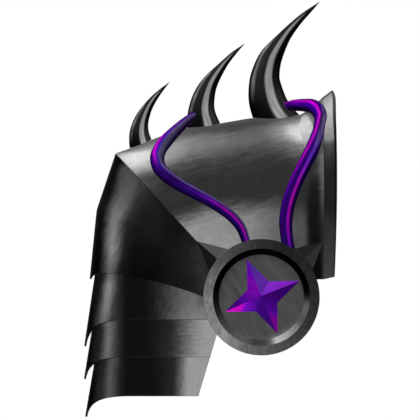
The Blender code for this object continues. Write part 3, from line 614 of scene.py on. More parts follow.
rods = {
    "steps": 48, "stations": 160, "perSpan": 12, "edge": 0.0006,
    # centre line x, y, z and radius, millimetres; then colour: a ground, and strokes of painted highlight and
    # sheen on ten times the share along the rod against the way across it, -1 to 1
    "left": ((-27, -3.5, 10.8, 3.9), (-30.8, -9.5, 8.8, 4), (-38.2, -20.5, 3.3, 4.8),
             (-48.2, -35.7, -5.7, 5.8), (-58.1, -49.1, -16.1, 6.8), (-64.2, -58.2, -24.4, 7),
             (-67.3, -67.8, -33.5, 7.3), (-64.9, -76.8, -43.7, 7), (-56.3, -83.7, -52.9, 6.6),
             (-44.3, -88.5, -61, 6.2), (-30.1, -91.3, -68.7, 5.9), (-14.8, -92.9, -76.9, 5.6),
             (-1.8, -93.7, -85.3, 5.4), (8.5, -94, -93.6, 5.3), (16, -94, -103, 5),
             (19.9, -94.8, -112.7, 4.6), (22, -95.8, -119.8, 4.4), (23.5, -96.3, -127, 4.2)),
    "right": ((57, -3, 15.5, 4.6), (60, -7.2, 17, 4.8), (66, -16.5, 18.7, 5.3), (72.1, -28, 19.4, 5.9),
              (80.7, -41.8, 19.2, 6.6), (87.5, -53.6, 18.1, 7.3), (92.8, -64.4, 14.3, 7.5),
              (95.4, -73.9, 8.3, 6.9), (95, -80.5, 2, 5.9), (93.6, -86, -6.3, 6),
              (91.2, -89.3, -14.6, 6.6), (86.5, -92.1, -26.8, 7.3), (80.4, -93.2, -39.2, 7.2),
              (74.1, -93.8, -51.5, 7.1), (68.4, -94.5, -65, 7.1), (64.3, -94.6, -77, 7),
              (62.1, -94.4, -87, 6.9), (61, -94.2, -97.8, 6.8), (61.4, -94, -107, 6.5),
              (62.5, -93.8, -116.1, 6.3), (64.7, -93.8, -126.2, 6.1)),
    "leftGround": (0.18, 0.07, 0.38),
    "leftStrokes": [
        (0.3, (0.5, 0.7, 0.5, 0.14, 0.13, 0.26), (2.5, 0.65, 0.5, 0.17, 0.15, 0.30),
         (3.3, 0.8, 0.4, 0.22, 0.20, 0.36), (4.2, 1, 0.2, 0.28, 0.25, 0.42)),
        (0.4, (0.5, 0.1, 0.26, 0.26, 0.23, 0.42), (2.5, 0.14, 0.26, 0.28, 0.25, 0.44),
         (3.2, 0.32, 0.2, 0.32, 0.29, 0.48), (3.8, 0.62, 0.15, 0.40, 0.37, 0.56)),
        (0.4, (5.8, -0.7, 0.15, 0.12, 0.06, 0.34), (7, -0.6, 0.25, 0.11, 0.06, 0.30),
         (9.6, -0.6, 0.22, 0.12, 0.06, 0.34)),
        (0.45, (0.5, -0.2, 0.26, 0.52, 0.50, 0.66), (1.5, -0.16, 0.28, 0.52, 0.50, 0.68),
         (2.3, -0.12, 0.28, 0.54, 0.51, 0.69), (3, 0.02, 0.26, 0.56, 0.53, 0.72),
         (3.6, 0.26, 0.22, 0.56, 0.54, 0.72), (4.2, 0.58, 0.18, 0.54, 0.52, 0.70),
         (5.2, 0.84, 0.16, 0.44, 0.41, 0.62), (7, 0.78, 0.2, 0.48, 0.38, 0.76),
         (8, 0.78, 0.2, 0.58, 0.46, 0.84), (9.6, 0.88, 0.14, 0.54, 0.46, 0.76)),
        (0.3, (5, -1, 0.08, 0.22, 0.18, 0.34), (7, -1, 0.1, 0.28, 0.24, 0.38),
         (9.6, -1, 0.14, 0.44, 0.40, 0.52)),
        (0.35, (0.5, -0.7, 0.12, 0.36, 0.22, 0.64), (2, -0.68, 0.12, 0.40, 0.22, 0.74),
         (3, -0.42, 0.1, 0.34, 0.24, 0.74), (3.8, -0.08, 0.12, 0.34, 0.20, 0.80),
         (4.5, 0.25, 0.12, 0.30, 0.14, 0.76), (5, 0.45, 0.12, 0.24, 0.10, 0.56)),
        (0.3, (2.3, -1, 0.1, 0.55, 0.08, 0.80), (3, -0.85, 0.14, 0.74, 0.08, 0.82),
         (3.6, -0.62, 0.15, 0.80, 0.08, 0.82), (4.2, -0.22, 0.14, 0.84, 0.10, 0.88),
         (4.6, -0.05, 0.05, 0.40, 0.08, 0.70)),
        (0.5, (4.2, -0.7, 0.14, 0.32, 0.06, 0.78), (4.7, -0.6, 0.08, 0.25, 0.08, 0.60)),
        (0.35, (5.8, 0.22, 0.1, 0.27, 0.08, 0.55), (6.6, 0.22, 0.16, 0.34, 0.08, 0.66),
         (7.4, 0.2, 0.2, 0.46, 0.08, 0.74)),
        (0.35, (6.8, 0.32, 0.08, 0.44, 0.09, 0.72), (7.4, 0.3, 0.16, 0.62, 0.08, 0.74),
         (8, 0.28, 0.2, 0.74, 0.08, 0.76), (9, 0.26, 0.2, 0.76, 0.09, 0.78),
         (9.7, 0.24, 0.18, 0.66, 0.08, 0.76)),
    ],
    "rightGround": (0.19, 0.06, 0.42),
    "rightStrokes": [
        (0.4, (0.6, -0.7, 0.25, 0.08, 0.04, 0.28), (2.2, -0.8, 0.2, 0.08, 0.04, 0.26)),
        (0.5, (1.5, 0.3, 0.2, 0.26, 0.05, 0.62), (3, -0.05, 0.25, 0.24, 0.05, 0.62),
         (4, -0.5, 0.2, 0.20, 0.08, 0.55)),
        (0.35, (0.6, 0.1, 0.2, 0.50, 0.08, 1.00), (1.5, 0.1, 0.22, 0.50, 0.08, 1.00),
         (2.2, -0.1, 0.24, 0.50, 0.08, 1.00), (2.8, -0.4, 0.16, 0.38, 0.06, 0.98),
         (3.3, -0.8, 0.1, 0.30, 0.08, 0.85)),
        (0.32, (0.6, 0.72, 0.15, 0.70, 0.08, 0.78), (1.5, 0.68, 0.18, 0.72, 0.07, 0.78),
         (2.2, 0.6, 0.2, 0.70, 0.05, 0.70), (2.8, 0.4, 0.2, 0.74, 0.06, 0.76),
         (3.4, 0.03, 0.18, 0.76, 0.08, 0.76), (4, -0.25, 0.21, 0.92, 0.12, 0.90),
         (4.7, -0.5, 0.2, 0.90, 0.12, 0.90), (5.5, -0.68, 0.17, 0.82, 0.10, 0.84),
         (6.4, -0.76, 0.13, 0.68, 0.08, 0.84), (7.2, -0.76, 0.1, 0.50, 0.08, 0.88),
         (8.4, -0.78, 0.1, 0.42, 0.08, 0.84), (9.8, -0.8, 0.08, 0.28, 0.08, 0.60)),
        (0.45, (3.2, 0.95, 0.15, 0.50, 0.42, 0.78), (3.6, 0.8, 0.25, 0.58, 0.52, 0.80),
         (4.1, 0.58, 0.38, 0.58, 0.53, 0.78), (4.8, 0.42, 0.42, 0.45, 0.37, 0.68),
         (5.4, 0.26, 0.24, 0.38, 0.24, 0.70)),
        (0.42, (5.7, 0.2, 0.2, 0.46, 0.22, 0.92), (6.3, 0.23, 0.18, 0.70, 0.18, 0.92),
         (7, 0.25, 0.19, 0.79, 0.11, 0.80), (8, 0.28, 0.2, 0.80, 0.09, 0.76),
         (9, 0.32, 0.2, 0.70, 0.10, 0.78), (9.8, 0.26, 0.17, 0.48, 0.10, 0.78)),
        (0.3, (6, 0.95, 0.1, 0.16, 0.10, 0.40), (9.5, 0.95, 0.12, 0.16, 0.12, 0.35)),
    ],
}


def clearOfHorn(solid):
    # distance from the nearest of the horn's section centres, less its radius and the gap
    centres, side, _ = hornSections(solid)
    def clearance(points):
        away = np.linalg.norm(points[..., None, :] - centres, axis=-1) - np.linalg.norm(side, axis=-1)
        return away.min(-1) - gap
    return clearance


rodPieces = []
for key, horn in (("left", "horn_middle"), ("right", "horn_large")):
    line = mm * throughPoints(rods[key], rods["perSpan"])
    centres, radii = line[:, :3], line[:, 3:]
    tangent = unit(np.gradient(centres, axis=0))
    side = unit(np.cross(tangent, (0.0, 1.0, 0.0)))
    body, faces, along, across = tube(centres, radii * side, radii * np.cross(side, tangent), rods,
                                      clearOfHorn(horn))
    start = np.arange(rods["steps"])
    end, count = start + (len(body) - 1) * rods["steps"], len(body) * rods["steps"]
    faceSets = [faces, fan(start, count), fan(end, count + 1)[:, ::-1]]
    paint, _ = strokesOver(10 * along, across, rods[key + "Ground"], rods[key + "Strokes"])
    values = {"paint": np.concatenate([paint.reshape(-1, 3), paint[:1, 0], paint[-1:, 0]])}
    points = np.concatenate([body.reshape(-1, 3), body[0].mean(0)[None], body[-1].mean(0)[None]])
    rodPieces.append(roundEdges(addPiece("rod_" + key, points, faceSets, values),
                                rods["edge"], 2, 60))
print("horns and rods made")


# the roundel

roundel = {
    "x": 0.0367, "z": -0.1725, "backY": -0.1010, "thickness": 0.0090,
    "ringRadius": 0.0580, "wellRadius": 0.0485, "floorRadius": 0.0424, "wellFlat": (0.06, 0.94),
    "discRadius": 0.0460, "discThickness": 0.0022, "discEdge": 0.0004, "discSpan": (0.02, 0.98),
    "discRings": 30, "steps": 224, "edge": 0.0003,
    # painted reflections, as tone by direction, degrees from +X: the ring's face, its well, and the disc's
    # rim
    "ringPaintedShading": ((0, 0.21), (45, 0.19), (68, 0.18), (90, 0.23), (135, 0.37), (158, 0.48), (180, 0.55),
                 (202, 0.58), (225, 0.65), (248, 0.50), (292, 0.36), (338, 0.24), (360, 0.21)),
    "wellPaintedShading": ((0, 0.22), (5, 0.12), (9, 0.05), (160, 0.06), (180, 0.11), (200, 0.24), (220, 0.50),
                 (235, 0.68), (247, 0.54), (262, 0.30), (275, 0.31), (281, 0.42), (289, 0.81), (305, 0.72),
                 (320, 0.60), (325, 0.47), (332, 0.41), (346, 0.51), (353, 0.45), (360, 0.22)),
    "rimPaintedShading": ((0, 0.29), (90, 0.30), (180, 0.29), (225, 0.36), (270, 0.40), (292, 0.54), (315, 0.44),
                (360, 0.29)),
    "discTone": 0.35, "sideTone": 0.15, "backTone": 0.3,
    # where the face's tone begins, below its level, and the height over which it comes in; where the rim's
    # tone begins and the width over which it comes in
    "faceBlend": (0.00018, 0.00015), "rimBlend": (0.036, 0.008),
}
rebate = roundel["discThickness"] + 2 * gap


def facing(radius, turn, height):
    # a point at the radius and turn round the roundel's centre, standing forward of its back by the height
    return np.stack([roundel["x"] + radius * np.cos(turn), roundel["backY"] - height + 0 * turn,
                     roundel["z"] + radius * np.sin(turn)], -1)


def softCorners(profile, width, steps=5):
    # every corner of a closed profile becomes a curve from a width before it to a width after it, or 0.45 of
    # a side that is short: the quadratic with the corner as its middle control point
    corner = np.array(profile, float)
    before, after = np.roll(corner, 1, 0), np.roll(corner, -1, 0)
    reach = lambda other: np.minimum(width, 0.45 * np.linalg.norm(other - corner, axis=1, keepdims=True))
    a = corner + unit(before - corner) * reach(before)
    c = corner + unit(after - corner) * reach(after)
    t = np.linspace(0, 1, steps)[None, :, None]
    curve = (1 - t) ** 2 * a[:, None] + 2 * t * (1 - t) * corner[:, None] + t**2 * c[:, None]
    return curve.reshape(-1, 2)


def byDirection(key, turn):
    # the roundel's tone at a turn, straight between its table's directions
    direction, tone = np.array(roundel[key]).T
    return np.interp(np.degrees(turn) % 360, direction, tone)


# the ring's section; two more points near the ends of the well's slope keep it flat between its soft corners
face, outside, inside = roundel["thickness"], roundel["ringRadius"], roundel["discRadius"] + gap
wellTop = np.array((roundel["wellRadius"], face))
wellFoot = np.array((roundel["floorRadius"], rebate + gap))
ringProfile = softCorners((
    wellTop, (outside, face), (outside, 0.0), (inside, 0.0), (inside, rebate),
    (roundel["floorRadius"], rebate), wellFoot, *(mixed(wellFoot, wellTop, s) for s in roundel["wellFlat"])),
    roundel["edge"])
radius, height = ringProfile.T[..., None]
turn = np.linspace(0, 2 * math.pi, roundel["steps"], endpoint=False)[None, :]
index = pointNumbers(radius.size, turn.size)
below, blend = roundel["faceBlend"]
onFace = smoothStep((height - face + below) / blend)
onWell = (radius < roundel["wellRadius"] + 0.1 * mm) & (height > rebate)
# painted reflections by direction on the ring's face and well; its sides keep a plain tone
ringPaintedShading = mixed(np.where(onWell, byDirection("wellPaintedShading", turn), roundel["sideTone"]),
                 byDirection("ringPaintedShading", turn), onFace)
ring = addPiece("roundel_ring", facing(radius, turn, height + 0 * turn),
                [roundCells(np.vstack([index, index[:1]]))],
                {"tone": ringPaintedShading.ravel(), "brushed": (onFace + 0 * turn).ravel()})

# the disc: rings of points over its face, a soft edge, and its flat back
front = gap + roundel["discThickness"]
edge = softCorners(((roundel["discRadius"], front), (roundel["discRadius"], gap)), roundel["discEdge"])
count = roundel["discRings"]
spokes = np.stack([np.linspace(*roundel["discSpan"], count) * roundel["discRadius"],
                   np.full(count, front)], 1)
radius, height = np.vstack([spokes, edge]).T[..., None]
points = facing(radius, turn, height + 0 * turn)
inner, blend = roundel["rimBlend"]
# the disc's plain tone, with painted reflections by direction round its rim
discTone = mixed(roundel["discTone"], byDirection("rimPaintedShading", turn), smoothStep((radius - inner) / blend))
index = pointNumbers(radius.size, turn.size)
disc = addPiece("roundel_disc",
                np.concatenate([points.reshape(-1, 3), points[:1].mean(1), points[-1:].mean(1)]),
                [roundCells(index), fan(index[0], index.size)[:, ::-1], fan(index[-1], index.size + 1)],
                {"tone": np.concatenate([discTone.ravel(), [roundel["discTone"], roundel["backTone"]]])})

star = {
    "tip": 0.0405, "notch": 0.0163, "height": 0.0090, "turn": 22.4, "right": 0.0008, "up": 0.0008,
    "apex": (-0.0013, 0.0005), "shares": (0.45, 0.62), "edge": 0.0001,
    # colours of each facet, violet with painted reflections, from the right tip's upper facet round: at the
    # tip, at the two shares of the way to the centre, at the centre and at the notch
    "facets": (
        ((0.58, 0.18, 0.92), (0.62, 0.19, 0.90), (0.64, 0.20, 0.96), (0.57, 0.22, 0.92), (0.60, 0.25, 0.99)),
        ((0.54, 0.31, 0.89), (0.52, 0.30, 0.92), (0.58, 0.30, 1.00), (0.58, 0.24, 0.95), (0.62, 0.26, 1.00)),
        ((0.42, 0.08, 0.77), (0.51, 0.08, 0.86), (0.58, 0.08, 0.84), (0.54, 0.08, 0.77), (0.56, 0.08, 0.79)),
        ((0.32, 0.08, 0.51), (0.32, 0.08, 0.58), (0.37, 0.08, 0.67), (0.52, 0.08, 0.75), (0.54, 0.08, 0.78)),
        ((0.86, 0.10, 0.84), (0.86, 0.08, 0.83), (0.53, 0.08, 0.85), (0.27, 0.08, 0.55), (0.31, 0.08, 0.59)),
        ((0.32, 0.08, 0.50), (0.27, 0.08, 0.53), (0.27, 0.08, 0.52), (0.31, 0.08, 0.59), (0.31, 0.08, 0.59)),
        ((0.72, 0.08, 0.72), (0.64, 0.08, 0.79), (0.46, 0.08, 0.80), (0.33, 0.08, 0.64), (0.33, 0.08, 0.65)),
        ((0.31, 0.08, 0.57), (0.33, 0.08, 0.60), (0.33, 0.08, 0.60), (0.39, 0.08, 0.69), (0.38, 0.08, 0.68)),
    ),
    "back": (0.2, 0.03, 0.35),
}
# a low pyramid on a star outline; the lines from a tip to the apex and to a notch beside it are cut at the
# shares, point = tip + share (end - tip), so a facet is a triangle at its tip and two strips
step = np.arange(8)
odd = step % 2 == 1
turn = step * math.pi / 4 + math.radians(star["turn"])
middle = np.array((star["right"], 0, star["up"]))
outline = facing(np.where(odd, star["notch"], star["tip"]), turn, rebate) + middle
centre = facing(np.zeros(1), np.zeros(1), rebate) + middle
apexX, apexZ = star["apex"]
apex = centre + (apexX, -star["height"], apexZ)
tips, notches = np.where(odd, (step + 1) % 8, step), np.where(odd, step, (step + 1) % 8)
share = np.array(star["shares"])[:, None]
ridges = mixed(outline[::2, None], apex, share).reshape(-1, 3)
sides = mixed(outline[tips][:, None], outline[notches][:, None], share).reshape(-1, 3)
# point numbers: the outline's 8, the apex, the centre below it, two on each ridge, two on each side
atApex, atCentre, firstRidge, firstSide = 8, 9, 10, 18
ridge = firstRidge + tips[:, None] + np.arange(2)
side = firstSide + 2 * step[:, None] + np.arange(2)
outward = lambda rows: np.where(odd.reshape((8,) + (1,) * (rows.ndim - 1)), rows[:, ::-1], rows)
corners = ((tips, side[:, 0], ridge[:, 0]), (ridge[:, 0], side[:, 0], side[:, 1], ridge[:, 1]),
           (ridge[:, 1], side[:, 1], notches, np.full(8, atApex)))
colours = np.array(star["facets"])
colours = [outward(colours[:, k]) for k in ([0, 1, 1], [1, 1, 2, 2], [2, 2, 4, 3])]
border = np.where(odd[:, None], side[:, ::-1], side)
base = fan(np.hstack([step[:, None], border]).ravel(), atCentre)[:, ::-1]
starBoss = addPiece("star_boss", np.concatenate([outline, apex, centre, ridges, sides]),
                    [outward(np.stack(c, -1)) for c in corners] + [base],
                    corners={"paint": colours + [np.ones(base.shape + (1,)) * star["back"]]})
roundEdges(starBoss, star["edge"], 2, 3)

spikes = {
    "halfAngle": 26.6, "halfThickness": 0.0034, "sunk": 0.006, "steps": 12, "edge": 0.00015,
    # its tip's distance from the roundel's middle and direction from +X in degrees, painted light and shade
    # tone of its upper and lower facet
    "spike_left": (0.0853, 139.0, 0.375, 0.13),
    "spike_right": (0.0839, 42.2, 0.17, 0.25),
}
spikePieces = []
for solid in ("spike_left", "spike_right"):
    # lines from the tip to a wide thin base, each cut off where it meets the ring's edge: the cut's share t
    # solves |tip + t (base - tip)| = the ring's radius and gap
    reach, direction, toneUpper, toneLower = spikes[solid]
    length = reach - roundel["ringRadius"] + spikes["sunk"]
    across = np.linspace(-1, 1, 2 * spikes["steps"] + 1)
    offset = across * length * math.tan(math.radians(spikes["halfAngle"]))
    a, b = length**2 + offset**2, -2 * reach * length
    c = reach ** 2 - (roundel["ringRadius"] + gap) ** 2
    t = (-b - np.sqrt(b * b - 4 * a * c)) / (2 * a)
    out, side = reach - t * length, t * offset
    rise = spikes["halfThickness"] * (1 - np.abs(across)) * t
    lean = math.radians(direction)

    def place(u, v, w):
        # u outwards, v square to it, w forwards, from the roundel's centre at half its thickness
        return np.stack([roundel["x"] + u * math.cos(lean) - v * math.sin(lean),
                         roundel["backY"] - 0.5 * roundel["thickness"] - w,
                         roundel["z"] + u * math.sin(lean) + v * math.cos(lean)], -1)

    points = np.concatenate([place(out, side, rise), place(out, side, -rise)[1:-1],
                             place(np.array([reach]), np.zeros(1), np.zeros(1))])
    n, m = len(out), len(out) - 2
    fore, rear = np.arange(n), n + np.arange(m)
    strip = np.stack([fore[1:-2], fore[2:-1], rear[1:], rear[:-1]], -1)
    ends = np.array([[0, 1, n], [n - 2, n - 1, n + m - 1]])
    faceSets = [fan(np.concatenate([fore, rear[::-1]]), n + m), strip[:, ::-1], ends[:, ::-1]]
    above = np.concatenate([side, side[1:-1], [0.0]]) * math.copysign(1, math.cos(lean))
    tones = [np.ones(f.shape + (3,)) * np.where(above[f].mean(1) > 0, toneUpper, toneLower)[:, None, None]
             for f in faceSets]
    spikePieces.append(roundEdges(addPiece(solid, points, faceSets, corners={"tone": tones}),
                                  spikes["edge"], 2, 20))
print("roundel made")


# shared effects

def group(name, inputs, outputs):
    # an empty shader node group with its named inputs, each with its default value, and its outputs
    tree = bpy.data.node_groups.new(name, "ShaderNodeTree")
    for key, value in inputs.items():
        kind = "NodeSocketVector" if value is None else "NodeSocketFloat"
        socket = tree.interface.new_socket(key, in_out="INPUT", socket_type=kind)
        if value is not None:
            socket.default_value = value
    for key, kind in outputs.items():
        tree.interface.new_socket(key, in_out="OUTPUT", socket_type="NodeSocket" + kind)
    return tree, tree.nodes.new("NodeGroupInput").outputs, tree.nodes.new("NodeGroupOutput").inputs


def fill(tree, inputs, values):
    # each input is linked to a socket or given a value
    for key, value in values.items():
        if isinstance(value, bpy.types.NodeSocket):
            tree.links.new(value, inputs[key])
        else:
            inputs[key].default_value = value


def node(tree, kind, values=None, **settings):
    # the outputs of a new node, with its settings made and its inputs filled
    made = tree.nodes.new("ShaderNode" + kind)
    for key, value in settings.items():
        setattr(made, key, value)
    fill(tree, made.inputs, values or {})
    return made.outputs


def maths(tree, operation, *values):
    # the result of one operation on sockets and numbers
    return node(tree, "Math", dict(enumerate(values)), operation=operation)[0]


steel = {"leastTone": 0.02, "roughness": 0.30, "marksRoughness": 0.10, "bump": 0.2, "bumpDistance": 0.00003,
         "edgeOn": 0.4}         # brightness seen edge on


def makeBrushMarks():
    # noise drawn out along one direction of the front view: turned about Y, then divided by the marks'
    # length, depth and width, and stretched to fill 0 to 1
    tree, given, result = group("brushMarks", {"Vector": None, "Angle": 0.0, "Length": 0.03, "Width": 0.002},
                                {"Marks": "Float"})
    turned = node(tree, "VectorRotate", {"Vector": given["Vector"], "Angle": given["Angle"]},
                  rotation_type="Y_AXIS")[0]
    size = node(tree, "CombineXYZ", {0: given["Length"], 1: given["Length"], 2: given["Width"]})[0]
    place = node(tree, "VectorMath", {0: turned, 1: size}, operation="DIVIDE")[0]
    noise = node(tree, "TexNoise", {"Vector": place, "Scale": 1.0, "Detail": 5.0, "Roughness": 0.62,
                                    "Distortion": 0.25})["Fac"]
    spread = node(tree, "MapRange", {"Value": noise, "From Min": 0.28, "From Max": 0.72})[0]
    fill(tree, result, {"Marks": spread})
    return tree


def makePaintedLightSteel():
    # steel with painted light: the tone, which carries painted reflections and shade, times one plus brush
    # marks and cloudy mottling, shifted by the marks where its strokes end raggedly, painted darker along the
    # rim as shade, and raised to the power for its colour
    tree, given, result = group("paintedLightSteel", {
        "Tone": 0.5, "Ragged": 0.0, "Rim": 1.0, "Vector": None, "Angle": 0.0, "Length": 0.03, "Width": 0.002,
        "Marks": 0.3, "Mottle": 0.2, "Mottle Size": 0.02, "Rim Painted Shade": 0.12, "Rim Width": 0.0012},
        {"Color": "Color", "Roughness": "Float", "Height": "Float"})
    brush = node(tree, "Group", {key: given[key] for key in ("Vector", "Angle", "Length", "Width")},
                 node_tree=brushMarks)["Marks"]
    cloud = node(tree, "TexNoise", {"Vector": given["Vector"],
                                    "Scale": maths(tree, "DIVIDE", 1.0, given["Mottle Size"]),
                                    "Detail": 4.0, "Roughness": 0.6, "Distortion": 0.8})["Fac"]
    marks = maths(tree, "SUBTRACT", brush, 0.5)
    total = maths(tree, "MULTIPLY_ADD", marks, given["Marks"], 1.0)
    total = maths(tree, "MULTIPLY_ADD", maths(tree, "SUBTRACT", cloud, 0.5), given["Mottle"], total)
    tone = maths(tree, "MULTIPLY", given["Tone"], total)
    tone = maths(tree, "MULTIPLY_ADD", marks, given["Ragged"], tone)
    edge = node(tree, "MapRange", {"Value": given["Rim"], "From Max": given["Rim Width"],
                                   "To Min": 1.0, "To Max": 0.0}, interpolation_type="SMOOTHSTEP")[0]
    rimPaintedShading = maths(tree, "MULTIPLY", given["Rim Painted Shade"], total)
    tone = node(tree, "Mix", {0: edge, 2: tone, 3: rimPaintedShading})[0]
    light = maths(tree, "POWER", maths(tree, "MAXIMUM", tone, steel["leastTone"]), toneGamma)
    roughness = maths(tree, "MULTIPLY_ADD", brush, steel["marksRoughness"], steel["roughness"])
    fill(tree, result, {"Color": node(tree, "CombineColor", {0: light, 1: light, 2: light})[0],
                        "Roughness": roughness, "Height": brush})
    return tree


brushMarks = makeBrushMarks()
paintedLightSteel = makePaintedLightSteel()


def attribute(tree, name, output="Fac"):
    # what a mesh keeps under the name
    return node(tree, "Attribute", attribute_name=name)[output]


def objectPlace(tree):
    return node(tree, "TexCoord")["Object"]


def newMaterial(name, *pieces):
    # a material put on the pieces: its nodes and its shader
    material = bpy.data.materials.new(name)
    material.use_nodes = True
    for piece in pieces:
        piece.data.materials.clear()
        piece.data.materials.append(material)
    tree = material.node_tree
    return tree, tree.nodes["Principled BSDF"]


def steelInto(tree, shader, look, edgeOn=steel["edgeOn"], **sources):
    # a steel look from the group, set into the material's own shader
    made = node(tree, "Group", {"Vector": objectPlace(tree), **look, **sources}, node_tree=paintedLightSteel)
    bump = node(tree, "Bump", {"Height": made["Height"], "Strength": steel["bump"],
                               "Distance": steel["bumpDistance"]})[0]
    fill(tree, shader.inputs, {"Base Color": made["Color"], "Roughness": made["Roughness"], "Normal": bump,
                               "Metallic": 1.0, "Specular Tint": (edgeOn, edgeOn, edgeOn, 1)})


# the brush marks' angle in the front view, in degrees, their length, width and strength, the mottling's
# strength and size, how ragged strokes end, the rim's width and painted shade tone, and the brightness seen
# edge on
lookNames = "Angle", "Length", "Width", "Marks", "Mottle", "Mottle Size", "Ragged", "Rim Width", "Rim Painted Shade"
plateLooks = {
    "shoulder-plate": (14, 0.016, 0.0030, 0.12, 0.18, 0.009, 0.36, 0.0007, 0.20, 0.8),
    "neck-flange": (70, 0.008, 0.0030, 0.10, 0.12, 0.006, 0.35, 0.0001, 0.20, 0.8),
    "arm-plate": (60, 0.016, 0.0028, 0.14, 0.14, 0.010, 0.28, 0.0006, 0.12, 0.4),
    "lame-upper": (84, 0.012, 0.0026, 0.15, 0.20, 0.005, 0.18, 0.0004, 0.20, 0.4),
    "lame-middle": (3, 0.010, 0.0020, 0.09, 0.10, 0.006, 0.30, 0.0004, 0.20, 0.4),
    "lame-lower": (84, 0.014, 0.0026, 0.07, 0.11, 0.007, 0.25, 0.0004, 0.20, 0.4),
}
plates = [shoulderPlate, neckFlange, armPlate] + lamePieces
for piece in plates:
    tree, shader = newMaterial(piece.name, piece)
    *values, edgeOn = plateLooks[piece.name]
    look = dict(zip(lookNames, values))
    look["Angle"] = math.radians(look["Angle"])
    look["Ragged"] = maths(tree, "MULTIPLY", attribute(tree, "ragged"), look["Ragged"])
    steelInto(tree, shader, look, edgeOn, Tone=attribute(tree, "tone"), Rim=attribute(tree, "rim"))

hornLook = {"Angle": 1.2, "Length": 0.02, "Width": 0.002, "Marks": 0.0, "Mottle": 0.15, "Mottle Size": 0.008}
hornStreaks = {"across": 9.0, "along": 7.0, "strength": 0.6, "least": 0.7}
tree, shader = newMaterial("horn steel", *hornPieces)
drawn = node(tree, "CombineXYZ", {k: maths(tree, "MULTIPLY", attribute(tree, way), hornStreaks[way])
                                  for k, way in enumerate(("across", "along"))})[0]
noise = node(tree, "TexNoise", {"Vector": drawn, "Scale": 1.0, "Detail": 4.0, "Roughness": 0.6})["Fac"]
streaks = maths(tree, "MULTIPLY_ADD", noise, hornStreaks["strength"], hornStreaks["least"])
steelInto(tree, shader, hornLook, Tone=maths(tree, "MULTIPLY", attribute(tree, "tone"), streaks))

lacquer = {"cloudScale": 140.0, "cloud": 0.3, "least": 0.85, "roughness": 0.24, "cloudRoughness": 0.12,
           "edgeOn": (0.6, 0.4, 0.6, 1)}
tree, shader = newMaterial("violet lacquer", *rodPieces, starBoss)
cloud = node(tree, "TexNoise", {"Vector": objectPlace(tree), "Scale": lacquer["cloudScale"],
                                "Detail": 3.0})["Fac"]
vary = maths(tree, "MULTIPLY_ADD", cloud, lacquer["cloud"], lacquer["least"])
# the paint carries the violet lacquer with painted highlights and sheen
paint = node(tree, "VectorMath", {0: attribute(tree, "paint", "Color"), "Scale": vary}, operation="SCALE")[0]
parts = node(tree, "SeparateXYZ", {0: paint})
colour = node(tree, "CombineColor", {k: maths(tree, "POWER", parts[k], toneGamma) for k in range(3)})[0]
roughness = maths(tree, "MULTIPLY_ADD", cloud, lacquer["cloudRoughness"], lacquer["roughness"])
fill(tree, shader.inputs, {"Base Color": colour, "Roughness": roughness, "Specular Tint": lacquer["edgeOn"],
                           "Metallic": 1.0})

ringLook = {"Angle": 1.4, "Length": 0.010, "Width": 0.0028, "Marks": 0.30, "Mottle": 0.45,
            "Mottle Size": 0.007}
discLook = {"Angle": math.radians(-58), "Length": 0.034, "Width": 0.0080, "Marks": 0.26, "Mottle": 0.12,
            "Mottle Size": 0.012}
postLook = {"Tone": 0.3, "Angle": 0.0, "Length": 0.01, "Width": 0.001}
tree, shader = newMaterial("roundel steel", ring, *spikePieces)
brushed = attribute(tree, "brushed")        # 1 on the ring's face, nothing on its well and the spikes
marked = {key: maths(tree, "MULTIPLY", brushed, ringLook[key]) for key in ("Marks", "Mottle")}
steelInto(tree, shader, {**ringLook, **marked}, Tone=attribute(tree, "tone"))
tree, shader = newMaterial("disc steel", disc)
steelInto(tree, shader, discLook, Tone=attribute(tree, "tone"))
tree, shader = newMaterial("post steel")
steelInto(tree, shader, postLook)
postMaterials = bpy.data.objects["roundel_post"].data.materials
for k in range(len(postMaterials)):
    postMaterials[k] = bpy.data.materials["post steel"]
for piece in plates + hornPieces + rodPieces + [ring, disc, starBoss] + spikePieces:
    piece.visible_glossy = False        # the pieces mirror the studio, not one another
print("materials made")


# studio

studio = {
    "ambient": 0.12,
    "lamps": {     # direction towards the lamp, its inner and outer half angles in degrees, strength
        "front": ((0.0, -1.0, 0.05), 10, 75, 0.55),
        "overhead": ((-0.45, -0.45, 0.77), 10, 58, 0.35),
        "top": ((-0.1, 0.42, 0.9), 22, 46, 0.75),
        "leftBack": ((-0.6, 0.55, 0.6), 10, 34, 0.80),
        "leftSide": ((-1.0, -0.25, 0.1), 5, 42, 0.35),
        "rightStrip": ((0.75, -0.62, 0.2), 3, 14, 0.60),
        "rightSide": ((1.0, 0.1, 0.2), 5, 38, 0.30),
        "lowLeft": ((-0.5, -0.6, -0.62), 8, 32, 0.45),
        "back": ((0.1, 1.0, 0.15), 5, 28, 0.30),
        "below": ((0.0, -0.15, -1.0), 15, 50, 0.60),
    },
    "background": 1.0,
    "viewDistance": 16.0, "viewHeight": -0.0856, "viewSide": -0.0146, "viewWidth": 0.42, "viewPlane": -0.05,
    "sensor": 36, "farthest": 100,
    "floorDrop": 0.004, "floorRadius": 3, "floorSides": 64,
}


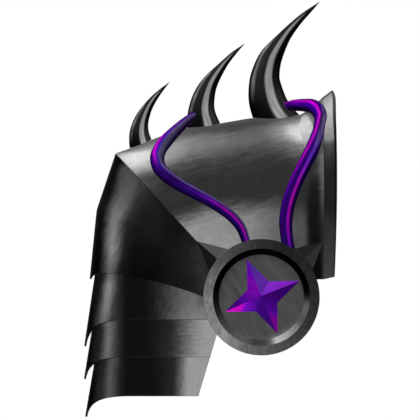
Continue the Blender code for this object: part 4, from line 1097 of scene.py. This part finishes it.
def makeStudio():
    # surroundings for reflections: a dim room and soft lamps, each rising smoothly from its outer to its
    # inner half angle; what the camera sees past the object is plain and pale
    world = bpy.data.worlds.new("studio")
    bpy.context.scene.world = world
    world.use_nodes = True
    tree = world.node_tree
    direction = node(tree, "TexCoord")["Generated"]
    total = None
    for aim, inner, outer, strength in studio["lamps"].values():
        dot = node(tree, "VectorMath", {0: direction, 1: tuple(unit(np.array(aim)))}, operation="DOT_PRODUCT")
        glow = node(tree, "MapRange", {"Value": dot["Value"], "To Min": 0.0, "To Max": strength,
                                       "From Min": math.cos(math.radians(outer)),
                                       "From Max": math.cos(math.radians(inner))},
                    interpolation_type="SMOOTHSTEP")[0]
        total = glow if total is None else maths(tree, "ADD", total, glow)
    total = maths(tree, "ADD", total, studio["ambient"])
    seen = node(tree, "LightPath")["Is Camera Ray"]
    strength = node(tree, "Mix", {0: seen, 2: total, 3: studio["background"]})[0]
    fill(tree, tree.nodes["Background"].inputs, {"Strength": strength, "Color": (1, 1, 1, 1)})


def makeCamera():
    # a long lens straight from the front, so wide that the view width fills the frame at the view plane
    lens = bpy.data.cameras.new("camera")
    lens.sensor_width = studio["sensor"]
    lens.lens = studio["sensor"] * (studio["viewDistance"] + studio["viewPlane"]) / studio["viewWidth"]
    lens.clip_end = studio["farthest"]
    camera = bpy.data.objects.new("camera", lens)
    camera.location = (studio["viewSide"], -studio["viewDistance"], studio["viewHeight"])
    camera.rotation_euler = (quarter, 0, 0)
    bpy.context.scene.collection.objects.link(camera)
    bpy.context.scene.camera = camera


def makeFloor():
    # a round pale floor just below the object, as bright as the background
    turn = np.linspace(0, 2 * math.pi, studio["floorSides"], endpoint=False)
    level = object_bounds()[0][2] - studio["floorDrop"]
    radius = studio["floorRadius"]
    mesh = bpy.data.meshes.new("floor")
    mesh.from_pydata(np.stack([radius * np.cos(turn), radius * np.sin(turn), 0 * turn + level], -1).tolist(),
                     [], [list(range(len(turn)))])
    floor = bpy.data.objects.new("floor", mesh)
    bpy.context.scene.collection.objects.link(floor)
    tree, shader = newMaterial("floor", floor)
    fill(tree, shader.inputs, {"Base Color": (0, 0, 0, 1), "Specular IOR Level": 0,
                               "Emission Color": (1, 1, 1, 1), "Emission Strength": studio["background"]})
    floor.visible_glossy = False
    floor.visible_diffuse = False


makeStudio()
makeCamera()
makeFloor()
bpy.context.scene.view_settings.view_transform = "Standard"
print("studio made")
